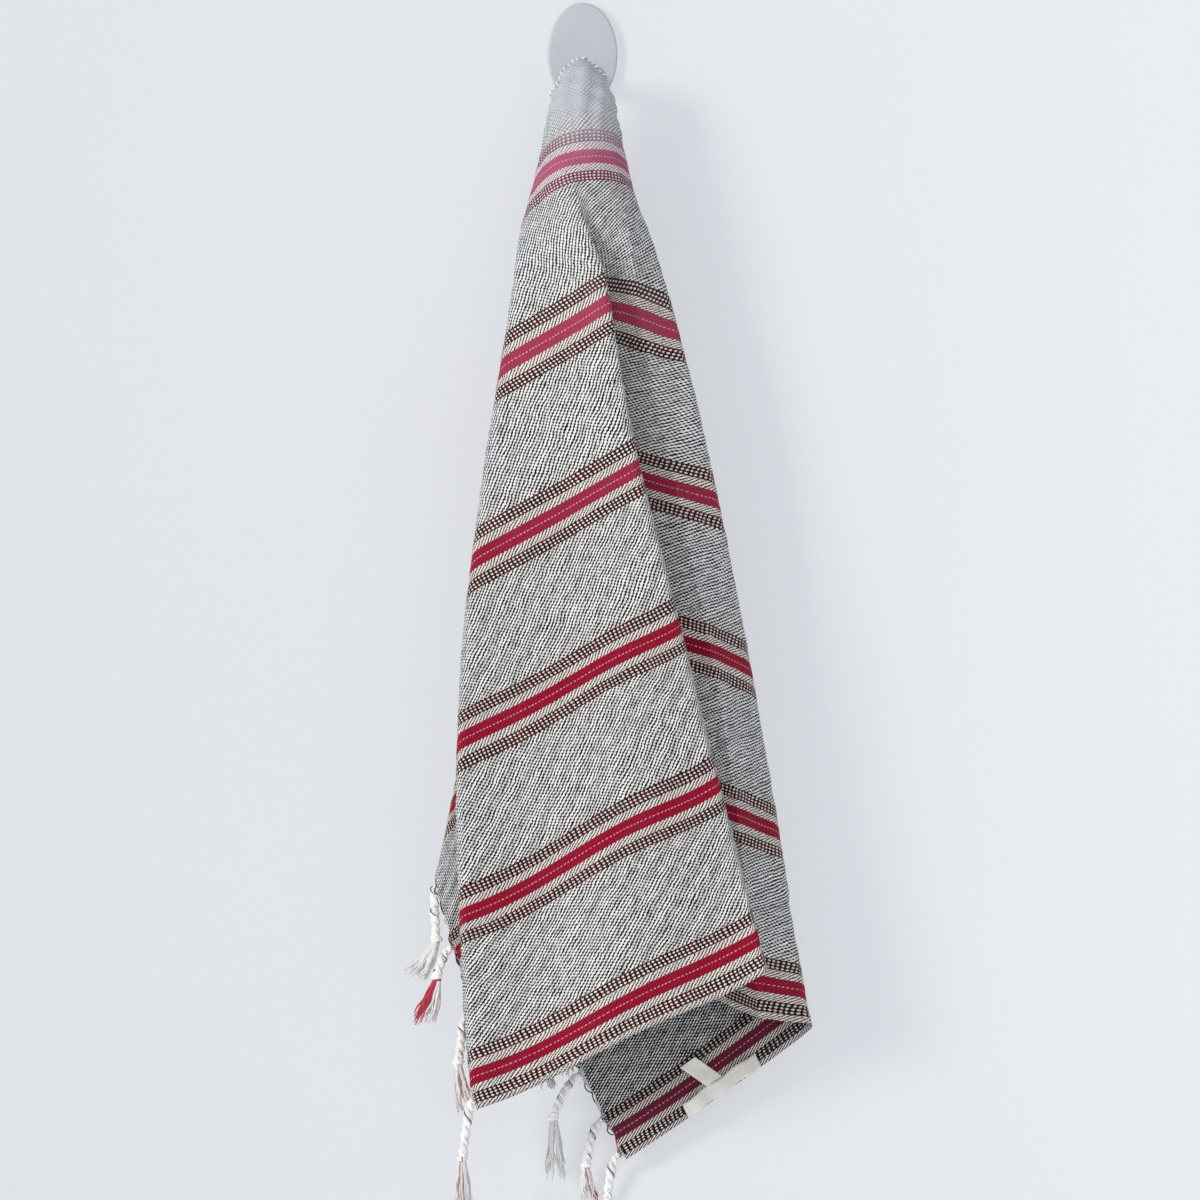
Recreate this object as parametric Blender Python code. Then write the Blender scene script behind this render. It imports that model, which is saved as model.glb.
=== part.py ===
"""Striped hammam towel hanging from a plain wall hook, in metres with +Z up.

The origin is the middle of the hook plate's back face. The wall lies in the plane y = 0, the towel
hangs in front of it towards -Y, and +X is to the right of someone who faces the wall.

The cloth is a rectangle that hangs from the middle of one long selvedge. A place on it is given by
its distance from that point and by its flat angle, which is 0 straight across the stripes, -90 along
the left half of the selvedge and +90 along the right half. A table of folds says where each fold of
the hanging cloth lies at four distances from the hook, and everything that is sewn or knotted to the
cloth is placed on the same surface.
"""

import math
from typing import NamedTuple

import bmesh
import bpy
import numpy as np
from mathutils import Vector
from mathutils.bvhtree import BVHTree

# --- The towel as it comes off the loom -------------------------------------------------------------
CLOTH_WIDTH = 0.495  # selvedge to selvedge, across the stripes
LEFT_LENGTH = 0.326  # from the hook to the left fringed end, along the stripes
RIGHT_LENGTH = 0.372  # from the hook to the right fringed end
CLOTH_THICKNESS = 0.0012

# --- The hook ---------------------------------------------------------------------------------------
PLATE_WIDTH = 0.0393
PLATE_HEIGHT = 0.0584
PLATE_THICKNESS = 0.005
PLATE_EDGE_ROUND = 0.0012
PLATE_SIDES = 48
HOOK_REACH = 0.050  # from the wall to the middle of the knob
KNOB_RADIUS = 0.0095
KNOB_GAP = 0.0009  # to the cloth over it
PEG_RADIUS = 0.0042
PEG_SIDES = 18
KNOB_STEPS = 8
FLANGE_RADIUS = 0.0085
FLANGE_LENGTH = 0.003
PIECE_GAP = 0.0003  # between pieces that touch on the real thing

# --- The hang ---------------------------------------------------------------------------------------
HANG_Z = -0.0035  # the selvedge's middle, over the knob
NECK_CENTRE_ANGLE = -7.7  # the flat angle that faces forward where the cloth is still a smooth cone
NECK_TIGHTNESS = 1.9  # how far the cloth wraps round below the knob
NECK_RADIUS = 0.046
NECK_WRAP_LIMIT = 172.0  # degrees to each side, where the two selvedge halves nearly meet
FOLDS_START, FOLDS_FULL = 0.060, 0.130  # distances from the hook over which the cone breaks into folds
LEVELS = (0.100, 0.180, 0.400, 0.600)  # distances from the hook at which the folds are tabled


class Fold(NamedTuple):
    """One fold at one distance from the hook: its flat angle and the middle of its turn."""

    angle: float  # degrees
    across: float  # metres to the right of the hook
    forward: float  # metres in front of the hook point
    turn: float  # metres between the layers that the fold joins


class Back(NamedTuple):
    """The hidden pleats at one distance from the hook."""

    left_inner: float  # metres to the right of the hook, where the left pleats turn
    right_inner: float  # the same for the right pleats
    rear: float  # metres in front of the hook point, of the layer next to the wall


FOLD_NAMES = ("flap", "tuck", "left edge", "crease", "valley", "shoulder", "right edge")
FOLDS = {
    0.100: (
        Fold(-52.0, -0.0270, -0.012, 0.004),
        Fold(-47.0, -0.0310, -0.006, 0.003),
        Fold(-41.7, -0.0335, 0.003, 0.006),
        Fold(-12.5, 0.0100, 0.031, 0.004),
        Fold(-6.1, 0.0040, 0.022, 0.003),
        Fold(12.0, 0.0240, 0.021, 0.000),
        Fold(24.0, 0.0360, 0.000, 0.006),
    ),
    0.180: (
        Fold(-55.0, -0.0450, -0.009, 0.006),
        Fold(-50.0, -0.0390, 0.001, 0.005),
        Fold(-43.4, -0.0465, 0.015, 0.010),
        Fold(-20.3, 0.0240, 0.039, 0.008),
        Fold(7.1, -0.0300, 0.014, 0.007),
        Fold(27.6, 0.0380, 0.020, 0.000),
        Fold(33.6, 0.0580, 0.003, 0.009),
    ),
    0.400: (
        Fold(-46.0, -0.0686, 0.009, 0.008),
        Fold(-43.0, -0.0600, 0.019, 0.006),
        Fold(-40.5, -0.0700, 0.032, 0.010),
        Fold(-18.7, 0.0780, 0.045, 0.009),
        Fold(2.2, -0.0490, 0.027, 0.009),
        Fold(26.5, 0.0820, 0.022, 0.000),
        Fold(31.6, 0.1020, -0.008, 0.010),
    ),
    0.600: (
        Fold(-42.5, -0.1140, 0.010, 0.008),
        Fold(-36.0, -0.0520, 0.020, 0.006),
        Fold(-33.8, -0.0610, 0.034, 0.010),
        Fold(-18.2, 0.1240, 0.048, 0.009),
        Fold(3.7, -0.0420, 0.028, 0.009),
        Fold(25.0, 0.1040, 0.020, 0.000),
        Fold(26.8, 0.1330, -0.008, 0.010),
    ),
}
BACKS = {
    0.100: Back(-0.0090, 0.0060, -0.029),
    0.180: Back(-0.0165, 0.0130, -0.037),
    0.400: Back(-0.0020, 0.0060, -0.042),
    0.600: Back(-0.0020, -0.0380, -0.042),
}
CREASE = FOLD_NAMES.index("crease")
BACK_PLEATS = 4  # layers on each side between the visible folds and the selvedge, an even number
BACK_TUCK = 0.96  # each hidden fold stops this much short of the one in front
TURN_REACH = 0.010  # how far from its turn a fold starts to bend
TURN_SHARE = 0.30  # and the most of a layer that the bend may take

WAVE_DEPTH = 0.005  # the layers' soft waves, at the hem
WAVE_LENGTH = 0.105
WAVE_START, WAVE_FULL = 0.16, 0.50  # distances from the hook
FRONT_FORWARD = 0.050  # the foremost layer, where the wave is deepest

# --- The mesh of the cloth --------------------------------------------------------------------------
NECK_ROWS = (0.006, 0.015, 0.026, 0.038, 0.050, 0.061, 0.071, 0.081, 0.092, 0.105, 0.122, 0.148)
SKIRT_ROWS = 6  # evenly from the last of those to the edge
TURN_COLUMNS = 2  # on each half of a turn
LAYER_COLUMNS = 3  # on each half of a layer that shows
HIDDEN_COLUMNS = 2  # on each half of a layer that doesn't
HIDDEN_TURN_COLUMNS = 2
COLUMN_CLEARANCE = 0.2  # of a span, round the columns that run through the corners
LOOKUP_COLUMNS = 1201
EDGE_TRIES, EDGE_STEP = 30, 0.7  # how a column's edge is closed in on
SELVEDGE_MARGIN = 0.0005  # a cross section of a heading strip keeps this clear of the corners

# --- Fringe -----------------------------------------------------------------------------------------
STRIP_WIDTH = 0.003  # the knotted heading that the tassels hang from
STRIP_GAP = 0.0009  # to the cloth's end
LEFT_TASSELS = (0.487, 0.430, 0.383, 0.339, 0.297, 0.255, 0.213, 0.171, 0.129, 0.087, 0.045, 0.008)
RIGHT_TASSELS = (
    0.489, 0.464, 0.431, 0.393, 0.355, 0.317, 0.279, 0.241, 0.203, 0.165, 0.127, 0.089, 0.051, 0.012
)
CORD_RADIUS = 0.0023
CORD_LENGTH = 0.026
ROOT_DEPTH = 0.4  # of the strip's width, where a cord starts
ELBOW_REACH = 1.6  # of the strip's width, where it turns down
CORD_RINGS = 6
CORD_SIDES = 6
PLY_DEPTH = 0.16  # how much the two plies show in the cord's outline
PLY_TURN = math.radians(38.0)  # the twist from one ring to the next
KNOT_RADII = (0.0021, 0.0034, 0.0033, 0.0022)
KNOT_LENGTH = 0.0055
KNOT_TIP = 0.0004
STRAND_LENGTH = 0.026
STRAND_SPREAD = 0.0055  # how far the loose ends fan out
STRAND_WIDTH = 0.62  # of a sixth of the knot's end
STRAND_TAPER = 0.45
STRAND_SEGMENTS = 2

# --- Labels, in flat places on the cloth ------------------------------------------------------------
NAME_LABEL_LEFT, NAME_LABEL_RIGHT = 0.2935, 0.3365
NAME_LABEL_TOP, NAME_LABEL_BOTTOM = 0.4865, 0.4947
CARE_LABEL_ROOT = 0.3170  # the middle of its root, along the stripes
CARE_LABEL_WIDTH = 0.009
CARE_LABEL_LENGTH = 0.0215
CARE_LABEL_SLANT = 0.0085
CARE_LABEL_LIFT = 0.003  # how far its tip stands off the cloth
LABEL_THICKNESS = 0.0006
LABEL_GAP = 0.0005  # to the cloth
LABEL_STEPS = 8


# --- The surface that the cloth hangs in ------------------------------------------------------------
def smooth_step(value, low, high):
    """0 below low, 1 above high, and a smooth climb between."""
    t = min(max((value - low) / (high - low), 0.0), 1.0)
    return t * t * (3.0 - 2.0 * t)


def smooth_through(knots, rows, at):
    """The values at one place of smooth curves through the rows, one row for each knot."""
    slopes = np.gradient(rows, knots, axis=0)
    if at >= knots[-1]:
        return rows[-1] + slopes[-1] * (at - knots[-1])
    if at <= knots[0]:
        return rows[0].copy()
    i = int(np.searchsorted(knots, at)) - 1
    step = knots[i + 1] - knots[i]
    t = (at - knots[i]) / step
    return (
        rows[i] * (1 + 2 * t) * (1 - t) ** 2
        + slopes[i] * step * t * (1 - t) ** 2
        + rows[i + 1] * t * t * (3 - 2 * t)
        + slopes[i + 1] * step * t * t * (t - 1)
    )


def back_folds(outer, inner, rear, end_angle):
    """The hidden folds from a visible outer fold to the free selvedge, which comes last."""
    outer_forward = outer.forward - outer.turn / 2
    layers = np.linspace(outer_forward, rear, BACK_PLEATS)
    across = [inner if i % 2 else outer.across * BACK_TUCK**i for i in range(1, BACK_PLEATS + 1)]
    lengths = np.abs(np.diff([outer.across] + across)) + np.append(-np.diff(layers), 0.0)
    shares = np.cumsum(lengths) / np.sum(lengths)
    angles = outer.angle + (end_angle - outer.angle) * shares
    folds = [
        Fold(angles[i], across[i], (layers[i] + layers[i + 1]) / 2, layers[i] - layers[i + 1])
        for i in range(BACK_PLEATS - 1)
    ]
    return folds + [Fold(end_angle, across[-1], rear, 0.0)]


def level_row(level):
    """All folds of one level from the left selvedge to the right one, as shares of the distance."""
    folds, back = FOLDS[level], BACKS[level]
    left = back_folds(folds[0], back.left_inner, back.rear, -90.0)
    right = back_folds(folds[-1], back.right_inner, back.rear, 90.0)
    row = np.array(left[::-1] + list(folds) + right)
    row[:, 1:] /= level
    return row


LEVEL_KNOTS = np.log(LEVELS)
LEVEL_ROWS = np.array([level_row(level) for level in LEVELS])
TURN_AT = BACK_PLEATS + CREASE  # from here on the layers go backwards


def fold_controls(distance):
    """Control points (flat angle, across, forward) of the cloth's section at one distance."""
    folds = smooth_through(LEVEL_KNOTS, LEVEL_ROWS, math.log(distance))
    folds[:, 1:] *= distance
    points = []
    for i, (angle, across, forward, turn) in enumerate(folds):
        half_angle = math.degrees(turn / 2 / distance)
        half_turn = turn / 2 if i < TURN_AT else -turn / 2
        points.append(
            (
                np.array((angle - half_angle, across, forward - half_turn)),
                np.array((angle + half_angle, across, forward + half_turn)),
            )
        )
    controls = [points[0][0], points[0][0]]
    for (_, leave), (arrive, _) in zip(points[:-1], points[1:]):
        chord = max(float(np.hypot(*(arrive - leave)[1:])), 1e-6)
        share = min(TURN_REACH / chord, TURN_SHARE)
        controls += [leave, leave + (arrive - leave) * share, arrive + (leave - arrive) * share, arrive]
    controls += [points[-1][1], points[-1][1]]
    return np.array(controls[1:-1])


SPANS = len(fold_controls(LEVELS[0])) - 2


def section(distance, places):
    """Flat angle, across and forward at places from 0 to SPANS along the section at a distance."""
    controls = fold_controls(distance)
    span = np.clip(np.floor(places).astype(int), 0, SPANS - 1)
    t = (places - span)[:, None]
    first, second, third = controls[span], controls[span + 1], controls[span + 2]
    curve = ((1 - t) ** 2 * first + (1 + 2 * t - 2 * t * t) * second + t * t * third) / 2
    even = 180.0 * (places / SPANS - 0.5)
    angle = even + (curve[:, 0] - even) * smooth_step(distance, 0.0, FOLDS_START)

    tightness = 1 + NECK_TIGHTNESS * (1 - math.exp(-((distance / NECK_RADIUS) ** 2)))
    off_centre = angle - NECK_CENTRE_ANGLE
    widest = 90.0 - NECK_CENTRE_ANGLE
    crowding = max(tightness * widest / NECK_WRAP_LIMIT - 1, 0.0)
    wrap = np.radians(tightness * off_centre / (1 + crowding * np.abs(off_centre) / widest))
    neck_across = distance * np.sin(wrap) / tightness
    neck_forward = distance * np.cos(wrap) / tightness

    folded = smooth_step(distance, FOLDS_START, FOLDS_FULL)
    across = neck_across + (curve[:, 1] - neck_across) * folded
    forward = neck_forward + (curve[:, 2] - neck_forward) * folded
    depth = WAVE_DEPTH * smooth_step(distance, WAVE_START, WAVE_FULL)
    nearness = (forward + HOOK_REACH) / (FRONT_FORWARD + HOOK_REACH)
    return angle, across, forward + depth * nearness * np.sin(2 * math.pi * across / WAVE_LENGTH)


def hang(distance, across, forward):
    """The place in space that keeps its distance from the hook point."""
    down = math.sqrt(max(distance**2 - across**2 - forward**2, 0.0))
    return Vector((across, -HOOK_REACH - forward, HANG_Z - down))


def cloth_place(along, down):
    """Where a place on the cloth hangs, from its flat place along and across the stripes."""
    distance = math.hypot(along, down)
    places = np.linspace(0.0, SPANS, LOOKUP_COLUMNS)
    angle = section(distance, places)[0]
    flat_angle = math.degrees(math.atan2(along, down))
    place = np.array((np.interp(flat_angle, angle, places),))
    _, across, forward = section(distance, place)
    return hang(distance, across[0], forward[0])


def cloth_frame(along, down, step=0.0005):
    """A place on the cloth with its directions along the stripes and out of the wrong side."""
    here = cloth_place(along, down)
    rightwards = (cloth_place(along + step, down) - cloth_place(along - step, down)).normalized()
    downwards = (cloth_place(along, down + step) - cloth_place(along, down - step)).normalized()
    return here, rightwards, rightwards.cross(downwards).normalized()


# --- The cloth --------------------------------------------------------------------------------------
def edge_distance(place):
    """How far from the hook a column of the section reaches the towel's edge."""
    distance = CLOTH_WIDTH
    for _ in range(EDGE_TRIES):
        angle = math.radians(section(distance, np.array((place,)))[0][0])
        length = RIGHT_LENGTH if angle > 0 else LEFT_LENGTH
        share = max(math.cos(angle) / CLOTH_WIDTH, abs(math.sin(angle)) / length)
        distance += (1 / share - distance) * EDGE_STEP
    return distance


def corner_column(length):
    """The column of the section that runs through a lower corner of the towel."""
    distance = math.hypot(length, CLOTH_WIDTH)
    places = np.linspace(0.0, SPANS, LOOKUP_COLUMNS)
    angle = section(distance, places)[0]
    return float(np.interp(math.degrees(math.atan2(length, CLOTH_WIDTH)), angle, places))


def column_places():
    """The columns of the cloth's mesh, two of which run through the lower corners."""
    even = [float(SPANS)]
    for span in range(SPANS):
        layer = span // 4
        shows = BACK_PLEATS <= layer <= BACK_PLEATS + len(FOLD_NAMES) - 1
        if span % 4 in (0, 3):
            count = TURN_COLUMNS if shows else HIDDEN_TURN_COLUMNS
        else:
            count = LAYER_COLUMNS if shows else HIDDEN_COLUMNS
        even += [span + i / count for i in range(count)]
    corners = np.array((corner_column(-LEFT_LENGTH), corner_column(RIGHT_LENGTH)))
    clear = [place for place in even if np.min(np.abs(corners - place)) > COLUMN_CLEARANCE]
    return np.sort(np.concatenate((clear, corners)))


def new_object(name, mesh_data, material):
    """A named object for a finished bmesh, with its material."""
    mesh = bpy.data.meshes.new(name)
    mesh_data.to_mesh(mesh)
    mesh_data.free()
    if material is not None:
        mesh.materials.append(material)
    piece = bpy.data.objects.new(name, mesh)
    bpy.context.scene.collection.objects.link(piece)
    return piece


def paint(name, color, roughness, metallic=0.0):
    """A plain material."""
    material = bpy.data.materials.new(name)
    material.use_nodes = True
    shader = material.node_tree.nodes["Principled BSDF"]
    shader.inputs["Base Color"].default_value = (*color, 1.0)
    shader.inputs["Roughness"].default_value = roughness
    shader.inputs["Metallic"].default_value = metallic
    return material


def thicken(piece, thickness):
    """Gives a sheet its thickness, half to each side."""
    solidify = piece.modifiers.new("thickness", "SOLIDIFY")
    solidify.thickness = thickness
    solidify.offset = 0.0


def make_cloth(material):
    """The hanging cloth: a fan of columns from the hook to the edge."""
    mesh = bmesh.new()
    apex = mesh.verts.new(hang(0.0, 0.0, 0.0))
    columns = []
    for place in column_places():
        edge = edge_distance(place)
        column = []
        skirt = np.linspace(NECK_ROWS[-1], edge, SKIRT_ROWS + 1)[1:]
        for distance in NECK_ROWS + tuple(skirt):
            _, across, forward = section(distance, np.array((place,)))
            column.append(mesh.verts.new(hang(distance, across[0], forward[0])))
        columns.append(column)
    for here, there in zip(columns[:-1], columns[1:]):
        mesh.faces.new((apex, here[0], there[0]))
        for row in range(len(here) - 1):
            mesh.faces.new((here[row], here[row + 1], there[row + 1], there[row]))
    piece = new_object("towel_cloth", mesh, material)
    thicken(piece, CLOTH_THICKNESS)
    return piece


# --- The fringe -------------------------------------------------------------------------------------
def strip_stations(length):
    """Distances down a fringed end at which its heading strip has a cross section."""
    sign = math.copysign(1.0, length)
    stations = {0.0, CLOTH_WIDTH}
    for place in column_places():
        edge = edge_distance(place)
        angle = math.radians(section(edge, np.array((place,)))[0][0])
        down = edge * math.cos(angle)
        if math.sin(angle) * sign > 0 and SELVEDGE_MARGIN < down < CLOTH_WIDTH - SELVEDGE_MARGIN:
            stations.add(down)
    return sorted(stations)


def make_strip(name, length, material):
    """The heading strip outside a fringed end."""
    sign = math.copysign(1.0, length)
    mesh = bmesh.new()
    rungs = []
    for down in strip_stations(length):
        inner = mesh.verts.new(cloth_place(length + sign * STRIP_GAP, down))
        outer = mesh.verts.new(cloth_place(length + sign * (STRIP_GAP + STRIP_WIDTH), down))
        rungs.append((inner, outer))
    for (a, b), (c, d) in zip(rungs[:-1], rungs[1:]):
        mesh.faces.new((a, b, d, c) if sign > 0 else (a, c, d, b))
    strip = new_object(name, mesh, material)
    thicken(strip, CLOTH_THICKNESS)
    return strip


def ring(mesh, centre, side, front, radius, lobe, turn):
    """Six points round a cord, further out where a ply stands out."""
    points = []
    for i in range(CORD_SIDES):
        angle = 2 * math.pi * i / CORD_SIDES + turn
        reach = radius * (1 - lobe + lobe * math.cos(2 * math.pi * 2 * i / CORD_SIDES))
        points.append(mesh.verts.new(centre + (side * math.cos(angle) + front * math.sin(angle)) * reach))
    return points


def add_tassel(mesh, length, down):
    """One tassel: a twisted cord that leaves the heading and falls, a knot, and the loose ends."""
    sign = math.copysign(1.0, length)
    root, rightwards, wrong_side = cloth_frame(length + sign * (STRIP_GAP + STRIP_WIDTH * ROOT_DEPTH), down)
    elbow = root + rightwards * sign * STRIP_WIDTH * ELBOW_REACH
    foot = elbow + Vector((0.0, 0.0, -(CORD_LENGTH - STRIP_WIDTH)))
    rings = []
    for i in range(CORD_RINGS):
        t = i / (CORD_RINGS - 1)
        centre = root * (1 - t) ** 2 + elbow * 2 * t * (1 - t) + foot * t * t
        heading = ((elbow - root) * (1 - t) + (foot - elbow) * t).normalized()
        front = (wrong_side - heading * wrong_side.dot(heading)).normalized()
        side = heading.cross(front)
        rings.append(ring(mesh, centre, side, front, CORD_RADIUS, PLY_DEPTH, PLY_TURN * i))
    for i, radius in enumerate(KNOT_RADII):
        centre = foot + heading * (KNOT_LENGTH * (i + 0.4) / len(KNOT_RADII))
        rings.append(ring(mesh, centre, side, front, radius, 0.0, PLY_TURN * (CORD_RINGS - 1)))
    mesh.faces.new(rings[0])
    for upper, lower in zip(rings[:-1], rings[1:]):
        for i in range(CORD_SIDES):
            j = (i + 1) % CORD_SIDES
            mesh.faces.new((upper[i], lower[i], lower[j], upper[j]))
    middle = mesh.verts.new(centre + heading * KNOT_TIP)
    last = rings[-1]
    for i in range(CORD_SIDES):
        add_strand(mesh, middle, last[i], last[(i + 1) % CORD_SIDES], heading, side, centre)


def add_strand(mesh, middle, left, right, heading, side, knot_end):
    """A loose three-sided strand that grows from one sixth of the knot's end."""
    corners = (middle, left, right)
    heart = (middle.co + left.co + right.co) / 3
    spread = (heart - knot_end).dot(side) / KNOT_RADII[-1] * STRAND_SPREAD
    previous = corners
    for step in range(STRAND_SEGMENTS + 1):
        t = step / STRAND_SEGMENTS
        drift = heading * STRAND_LENGTH * t + side * spread * t * (1.5 - 0.5 * t)
        width = STRAND_WIDTH * (1 - STRAND_TAPER * t)
        current = [mesh.verts.new(heart + (corner.co - heart) * width + drift) for corner in corners]
        for a in range(3):
            b = (a + 1) % 3
            mesh.faces.new((previous[a], previous[b], current[b], current[a]))
        previous = current
    mesh.faces.new(previous)


def make_fringe(name, length, tassels, material):
    """One fringe: the heading strip with its tassels grown into it."""
    strip = make_strip(name, length, material)
    mesh = bmesh.new()
    for down in tassels:
        add_tassel(mesh, length, down)
    bmesh.ops.recalc_face_normals(mesh, faces=mesh.faces)
    bmesh.ops.triangulate(mesh, faces=mesh.faces)
    tassel_guide = new_object(name + "_tassels", mesh, material)
    tassel_guide.hide_render = True
    tassel_guide.display_type = "WIRE"
    strip.modifiers.new("triangles", "TRIANGULATE")
    union = strip.modifiers.new("tassels", "BOOLEAN")
    union.operation = "UNION"
    union.solver = "EXACT"
    union.object = tassel_guide
    return strip


# --- The labels -------------------------------------------------------------------------------------
def make_label(name, cloth, places, lift, material):
    """A thin blank label on the wrong side, from rows of flat places and their height off the cloth."""
    corners = [vertex.co for vertex in cloth.data.vertices]
    surface = BVHTree.FromPolygons(corners, [face.vertices for face in cloth.data.polygons])
    mesh = bmesh.new()
    grid = []
    for row, row_lift in zip(places, lift):
        line = []
        for along, down in row:
            here, _, wrong_side = cloth_frame(along, down)
            seat = surface.find_nearest(here)[0]
            height = CLOTH_THICKNESS / 2 + LABEL_GAP + LABEL_THICKNESS / 2 + row_lift
            line.append(mesh.verts.new(seat + wrong_side * height))
        grid.append(line)
    for upper, lower in zip(grid[:-1], grid[1:]):
        for i in range(len(upper) - 1):
            mesh.faces.new((upper[i], lower[i], lower[i + 1], upper[i + 1]))
    label = new_object(name, mesh, material)
    thicken(label, LABEL_THICKNESS)
    return label


def make_name_label(cloth, material):
    """The long label along the lower selvedge."""
    along = np.linspace(NAME_LABEL_LEFT, NAME_LABEL_RIGHT, LABEL_STEPS + 1)
    rows = [[(a, down) for a in along] for down in (NAME_LABEL_TOP, NAME_LABEL_BOTTOM)]
    return make_label("name_label", cloth, rows, (0.0, 0.0), material)


def make_care_label(cloth, material):
    """The small tab that comes out from under the long label and lifts at its tip."""
    rows, lift = [], []
    for step in range(LABEL_STEPS // 2 + 1):
        t = step / (LABEL_STEPS // 2)
        middle = CARE_LABEL_ROOT + CARE_LABEL_SLANT * t
        down = NAME_LABEL_TOP - LABEL_GAP - CARE_LABEL_LENGTH * t
        rows.append([(middle - CARE_LABEL_WIDTH / 2, down), (middle + CARE_LABEL_WIDTH / 2, down)])
        lift.append(CARE_LABEL_LIFT * t * t)
    return make_label("care_label", cloth, rows, lift, material)


# --- The hook ---------------------------------------------------------------------------------------
def make_plate(material):
    """The upright oval plate, flat against the wall, its front rim rounded."""
    mesh = bmesh.new()
    bmesh.ops.create_circle(mesh, cap_ends=True, segments=PLATE_SIDES, radius=0.5)
    for vert in mesh.verts:
        vert.co = Vector((vert.co.x * PLATE_WIDTH, 0.0, vert.co.y * PLATE_HEIGHT))
    back = list(mesh.faces)
    front = bmesh.ops.extrude_face_region(mesh, geom=back)["geom"]
    front_verts = [item for item in front if isinstance(item, bmesh.types.BMVert)]
    bmesh.ops.translate(mesh, verts=front_verts, vec=(0.0, -PLATE_THICKNESS, 0.0))
    rim = [edge for edge in mesh.edges if all(abs(v.co.y + PLATE_THICKNESS) < 1e-6 for v in edge.verts)]
    bmesh.ops.bevel(
        mesh, geom=rim, offset=PLATE_EDGE_ROUND, segments=1, affect="EDGES", clamp_overlap=True
    )
    bmesh.ops.recalc_face_normals(mesh, faces=mesh.faces)
    return new_object("hook_plate", mesh, material)


def make_peg(material):
    """The peg and its ball end, one turned piece with a flange at the plate."""
    knob_z = HANG_Z - CLOTH_THICKNESS / 2 - KNOB_GAP - KNOB_RADIUS
    start = Vector((0.0, -PLATE_THICKNESS - PIECE_GAP, knob_z))
    knob_out = HOOK_REACH - PLATE_THICKNESS - PIECE_GAP
    profile = [(0.0, 0.0), (0.0, FLANGE_RADIUS), (FLANGE_LENGTH, FLANGE_RADIUS), (FLANGE_LENGTH, PEG_RADIUS)]
    neck = math.acos(PEG_RADIUS / KNOB_RADIUS)
    for angle in np.linspace(neck, -math.pi / 2, KNOB_STEPS + 1):
        profile.append((knob_out - KNOB_RADIUS * math.sin(angle), KNOB_RADIUS * math.cos(angle)))
    mesh = bmesh.new()
    points = [mesh.verts.new(start + Vector((0.0, -out, radius))) for out, radius in profile]
    edges = [mesh.edges.new(pair) for pair in zip(points[:-1], points[1:])]
    bmesh.ops.spin(
        mesh, geom=points + edges, cent=start, axis=(0.0, 1.0, 0.0), angle=2 * math.pi, steps=PEG_SIDES,
        use_merge=True,
    )
    bmesh.ops.remove_doubles(mesh, verts=mesh.verts, dist=1e-6)
    bmesh.ops.recalc_face_normals(mesh, faces=mesh.faces)
    return new_object("hook_peg", mesh, material)


def main():
    """Builds every piece in an emptied scene."""
    for item in list(bpy.data.objects):
        bpy.data.objects.remove(item)
    cotton = paint("striped_cotton", (0.42, 0.20, 0.21), 0.9)
    yarn = paint("fringe_yarn", (0.70, 0.58, 0.57), 0.9)
    tape = paint("label_cotton", (0.74, 0.68, 0.58), 0.8)
    metal = paint("painted_hook", (0.56, 0.57, 0.60), 0.45)
    cloth = make_cloth(cotton)
    make_fringe("fringe_left", -LEFT_LENGTH, LEFT_TASSELS, yarn)
    make_fringe("fringe_right", RIGHT_LENGTH, RIGHT_TASSELS, yarn)
    make_name_label(cloth, tape)
    make_care_label(cloth, tape)
    make_plate(metal)
    make_peg(metal)


main()
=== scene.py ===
"""Looks of a striped hammam towel that hangs from a plain wall hook, in metres with +Z up.

The wall is the plane y = 0 and the towel hangs in front of it towards -Y. A place on the cloth is given
by its flat place: along the stripes, positive to the right of the hook, and down across them from the
upper selvedge. The drape turns a flat place into the place where it hangs, and the cloth, its fringes
and its labels are all laid on that one surface. The weave, stripes and yarn are drawn by shader maths.
"""

import logging
import math
from dataclasses import dataclass
from enum import Enum
from typing import NamedTuple

import bpy
import numpy as np
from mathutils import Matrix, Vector


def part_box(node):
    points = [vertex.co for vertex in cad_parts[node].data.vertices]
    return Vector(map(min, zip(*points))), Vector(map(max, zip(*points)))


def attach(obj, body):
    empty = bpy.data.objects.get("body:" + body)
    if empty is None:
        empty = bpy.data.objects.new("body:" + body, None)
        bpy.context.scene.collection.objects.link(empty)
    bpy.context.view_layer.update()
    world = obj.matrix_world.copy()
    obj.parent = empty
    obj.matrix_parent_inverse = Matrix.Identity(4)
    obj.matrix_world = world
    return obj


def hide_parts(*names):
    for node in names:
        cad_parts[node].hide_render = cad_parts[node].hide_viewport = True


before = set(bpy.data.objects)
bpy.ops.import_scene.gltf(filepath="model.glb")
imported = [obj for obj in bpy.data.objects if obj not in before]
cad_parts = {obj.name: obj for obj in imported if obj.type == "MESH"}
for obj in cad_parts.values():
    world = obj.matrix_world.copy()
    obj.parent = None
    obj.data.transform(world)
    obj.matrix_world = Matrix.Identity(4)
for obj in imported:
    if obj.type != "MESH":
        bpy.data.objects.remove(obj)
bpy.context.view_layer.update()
LOG = logging.getLogger("hammam_towel")

ROOT_BODY = "root"
CLOTH_THICKNESS = 0.0012
Color = tuple[float, float, float]
Number = "Value | float"
Spot = tuple[float, float, float]
TURN = 2 * math.pi


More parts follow.
